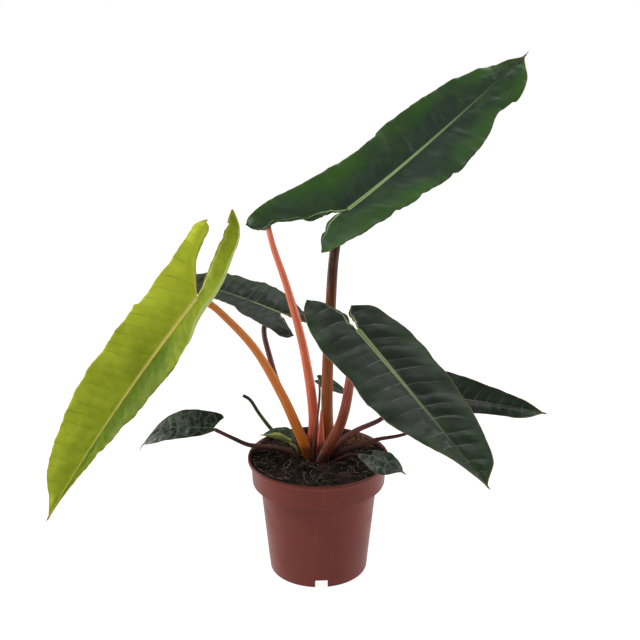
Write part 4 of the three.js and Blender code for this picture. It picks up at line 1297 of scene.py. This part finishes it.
def add_rib(bm, spine, length, rib, layers):
    """The midrib stands out of the underside as a tapering half-round cord."""
    points = []
    radii = []
    steps = 40
    for i in range(steps + 1):
        place, _, up = station_at(spine, mix(0, length * 0.94, i / steps))
        radius = rib * mix(0.85, 0.12, (i / steps) ** 0.8)
        points.append((place - up * (0.35 + 0.5 * radius)) * MM)
        radii.append(radius * MM)
    start = len(bm.verts)
    sweep_tube(bm, points, radii, 10)
    bm.verts.ensure_lookup_table()
    for v in bm.verts[start:]:
        v[layers["rib_width"]] = 1.0
        for face in v.link_faces:
            face.material_index = 1


def build_blade(name, leaf, seed, settings):
    """One blade: two halves from flat grids, merged at the midrib, thickened and ribbed below."""
    dress = {**PLAIN_DRESS, **BLADE_DRESS[name]}
    bm = bmesh.new()
    layers = {key: bm.verts.layers.float.new(key) for key in BLADE_LAYERS}
    layers["flat"] = bm.verts.layers.float_vector.new("flat")
    spine, _ = [build_half(bm, layers, leaf, side, dress, seed, settings) for side in SIDES]
    bmesh.ops.remove_doubles(bm, verts=bm.verts, dist=0.02)
    bmesh.ops.scale(bm, verts=bm.verts, vec=(MM, MM, MM))
    bm.normal_update()
    thicken(bm, settings.blade_thickness)
    add_rib(bm, spine, leaf["length"], dress["rib"], layers)
    kind = leaf["look"]
    skins = [leaf_skin(kind, underside) for underside in (False, True)]
    finish_piece(f"leaf_{name}", bm, skins, [f"blade_{name}"], unit=1)


# ---------------------------------------------------------------- stage


def build_floor():
    bm = bmesh.new()
    bmesh.ops.create_grid(bm, x_segments=8, y_segments=8, size=20.0)
    bmesh.ops.translate(bm, verts=bm.verts, vec=(0, 0, -0.0004))
    mesh = mesh_of("pale_floor", bm)
    mesh.materials.append(studio_white())
    floor = place_object("pale_floor", mesh)


def add_light(name, place, aim, size, power):
    data = bpy.data.lights.new(name, "AREA")
    data.shape = "RECTANGLE"
    data.size, data.size_y = size
    data.energy = power
    lamp = place_object(name, data)
    lamp.location = place
    lamp.rotation_euler = (Vector(aim) - Vector(place)).to_track_quat("-Z", "Y").to_euler()


def build_lights(settings):
    """A large soft key at the upper left, two strip lights that pale the pot's sides, and a white
    surround."""
    leaves = (0, 0, 0.25)
    pot = (0, 0, 0.15)
    add_light("key_light", (-1.0, -0.6, 1.7), leaves, (1.1, 1.1), settings.key_power)
    add_light("left_strip", (-1.2, 0.45, 0.5), pot, (0.5, 1.4), settings.key_power * 0.85)
    add_light("right_strip", (1.2, 0.45, 0.5), pot, (0.5, 1.4), settings.key_power * 0.85)
    add_light("back_light", (0.3, 1.3, 1.5), leaves, (1.4, 0.7), settings.key_power * 0.3)
    world = bpy.data.worlds.new("white_surround")
    world.use_nodes = True
    background = world.node_tree.nodes["Background"]
    background.inputs["Color"].default_value = (1, 1, 1, 1)
    background.inputs["Strength"].default_value = settings.surround
    bpy.context.scene.world = world
    bpy.context.scene.view_settings.view_transform = "Standard"


def build_camera():
    """The photograph's view: 1.24 m away, looking down 19.8 degrees, through a 73 mm lens."""
    data = bpy.data.cameras.new("photo_camera")
    data.sensor_width = 36.0
    data.lens = 73.1
    camera = place_object("photo_camera", data)
    camera.location = (0.0015, -1.16669, 0.68334)
    camera.rotation_euler = (math.radians(90 - 19.8), 0, 0)
    bpy.context.scene.camera = camera


# ---------------------------------------------------------------- operators


class PHILODENDRON_OT_pot(bpy.types.Operator):
    """Builds the nursery pot"""

    bl_idname = "philodendron.pot"
    bl_label = "Nursery pot"

    def execute(self, context):
        build_pot(context.scene.philodendron_pot)
        return {"FINISHED"}


class PHILODENDRON_OT_peat(bpy.types.Operator):
    """Builds the peat with its crumbs, roots and coir fibres"""

    bl_idname = "philodendron.peat"
    bl_label = "Peat"

    def execute(self, context):
        settings = context.scene.philodendron_peat
        build_peat()
        build_crumbs(settings)
        root = plant_fibre("dry_root", "5A4C42", "B4A696")
        coir = plant_fibre("coir_fibre", "5C3A22", "946440")
        tuft = ((43, 36), 9)
        build_strands("pale_roots", root, settings.roots, (12, 34), (0.07, 0.14), 0.5, SEED + 1)
        build_strands("long_roots", root, settings.roots // 6, (30, 60), (0.14, 0.24), 0.3, SEED + 4)
        build_strands("coir_fibres", coir, settings.fibres, (5, 15), (0.12, 0.3), 0.4, SEED + 2, tuft)
        return {"FINISHED"}


class PHILODENDRON_OT_stems(bpy.types.Operator):
    """Builds the crown, the petioles, the new leaf's sheath and the cut petiole"""

    bl_idname = "philodendron.stems"
    bl_label = "Crown and petioles"

    def execute(self, context):
        waxes = {kind: waxy_petiole(f"wax_{kind}", look) for kind, look in PETIOLE_LOOKS.items()}
        for name, leaf in LEAVES.items():
            stalk = leaf["petiole"]
            wax = stalk["wax"]
            radius_at = functools.partial(petiole_radius, stalk["radius"])
            slot = PETIOLE_LOOKS[wax]["slot"]
            build_stem(
                f"stalk_{name}", stalk["path"], radius_at, waxes[wax], f"petiole_{name}",
                spacing=2.4, sides=22,
            )
        for piece, wax, slot, node, (path, radius) in (
            ("crown_stem", "brown", "crown_bark", "crown", CROWN),
            ("leaf_sheath", "pink", "sheath", "new_leaf_sheath", SHEATH),
            ("cut_stalk", "olive", "maroon_petiole", "cut_petiole", STUB),
        ):
            radius_at = functools.partial(plain_radius, radius)
            build_stem(piece, path, radius_at, waxes[wax], node, spacing=1.5, sides=20)
        return {"FINISHED"}


class PHILODENDRON_OT_blades(bpy.types.Operator):
    """Builds the leaf blades"""

    bl_idname = "philodendron.blades"
    bl_label = "Blades"

    def execute(self, context):
        for number, (name, leaf) in enumerate(LEAVES.items()):
            build_blade(name, leaf, 11.3 * (number + 1), context.scene.philodendron_plant)
        return {"FINISHED"}


class PHILODENDRON_OT_stage(bpy.types.Operator):
    """Sets the pale floor, the soft studio light and the camera"""

    bl_idname = "philodendron.stage"
    bl_label = "Stage"

    def execute(self, context):
        build_floor()
        build_lights(context.scene.philodendron_stage)
        build_camera()
        return {"FINISHED"}


# ---------------------------------------------------------------- add-on


class PHILODENDRON_PT_panel(bpy.types.Panel):
    """Lists the steps and their settings"""

    bl_label = "Potted philodendron"
    bl_idname = "PHILODENDRON_PT_panel"
    bl_space_type = "VIEW_3D"
    bl_region_type = "UI"
    bl_category = "Philodendron"

    def draw(self, context):
        for group, operators in STEPS:
            box = self.layout.box()
            for key in getattr(context.scene, group).bl_rna.properties.keys():
                if key not in {"rna_type", "name"}:
                    box.prop(getattr(context.scene, group), key)
            for operator in operators:
                box.operator(operator)


STEPS = [
    ("philodendron_pot", ["philodendron.pot"]),
    ("philodendron_peat", ["philodendron.peat"]),
    ("philodendron_plant", ["philodendron.stems", "philodendron.blades"]),
    ("philodendron_stage", ["philodendron.stage"]),
]

CLASSES = [
    PhilodendronPot,
    PhilodendronPeat,
    PhilodendronPlant,
    PhilodendronStage,
    PHILODENDRON_OT_pot,
    PHILODENDRON_OT_peat,
    PHILODENDRON_OT_stems,
    PHILODENDRON_OT_blades,
    PHILODENDRON_OT_stage,
    PHILODENDRON_PT_panel,
]


def register():
    for item in CLASSES:
        bpy.utils.register_class(item)
    for (group, _), kind in zip(STEPS, CLASSES):
        setattr(bpy.types.Scene, group, bpy.props.PointerProperty(type=kind))


def unregister():
    for group, _ in STEPS:
        delattr(bpy.types.Scene, group)
    for item in reversed(CLASSES):
        bpy.utils.unregister_class(item)


def main():
    register()
    for _, operators in STEPS:
        for name in operators:
            family, step = name.split(".")
            getattr(getattr(bpy.ops, family), step)()


if __name__ == "__main__":
    main()
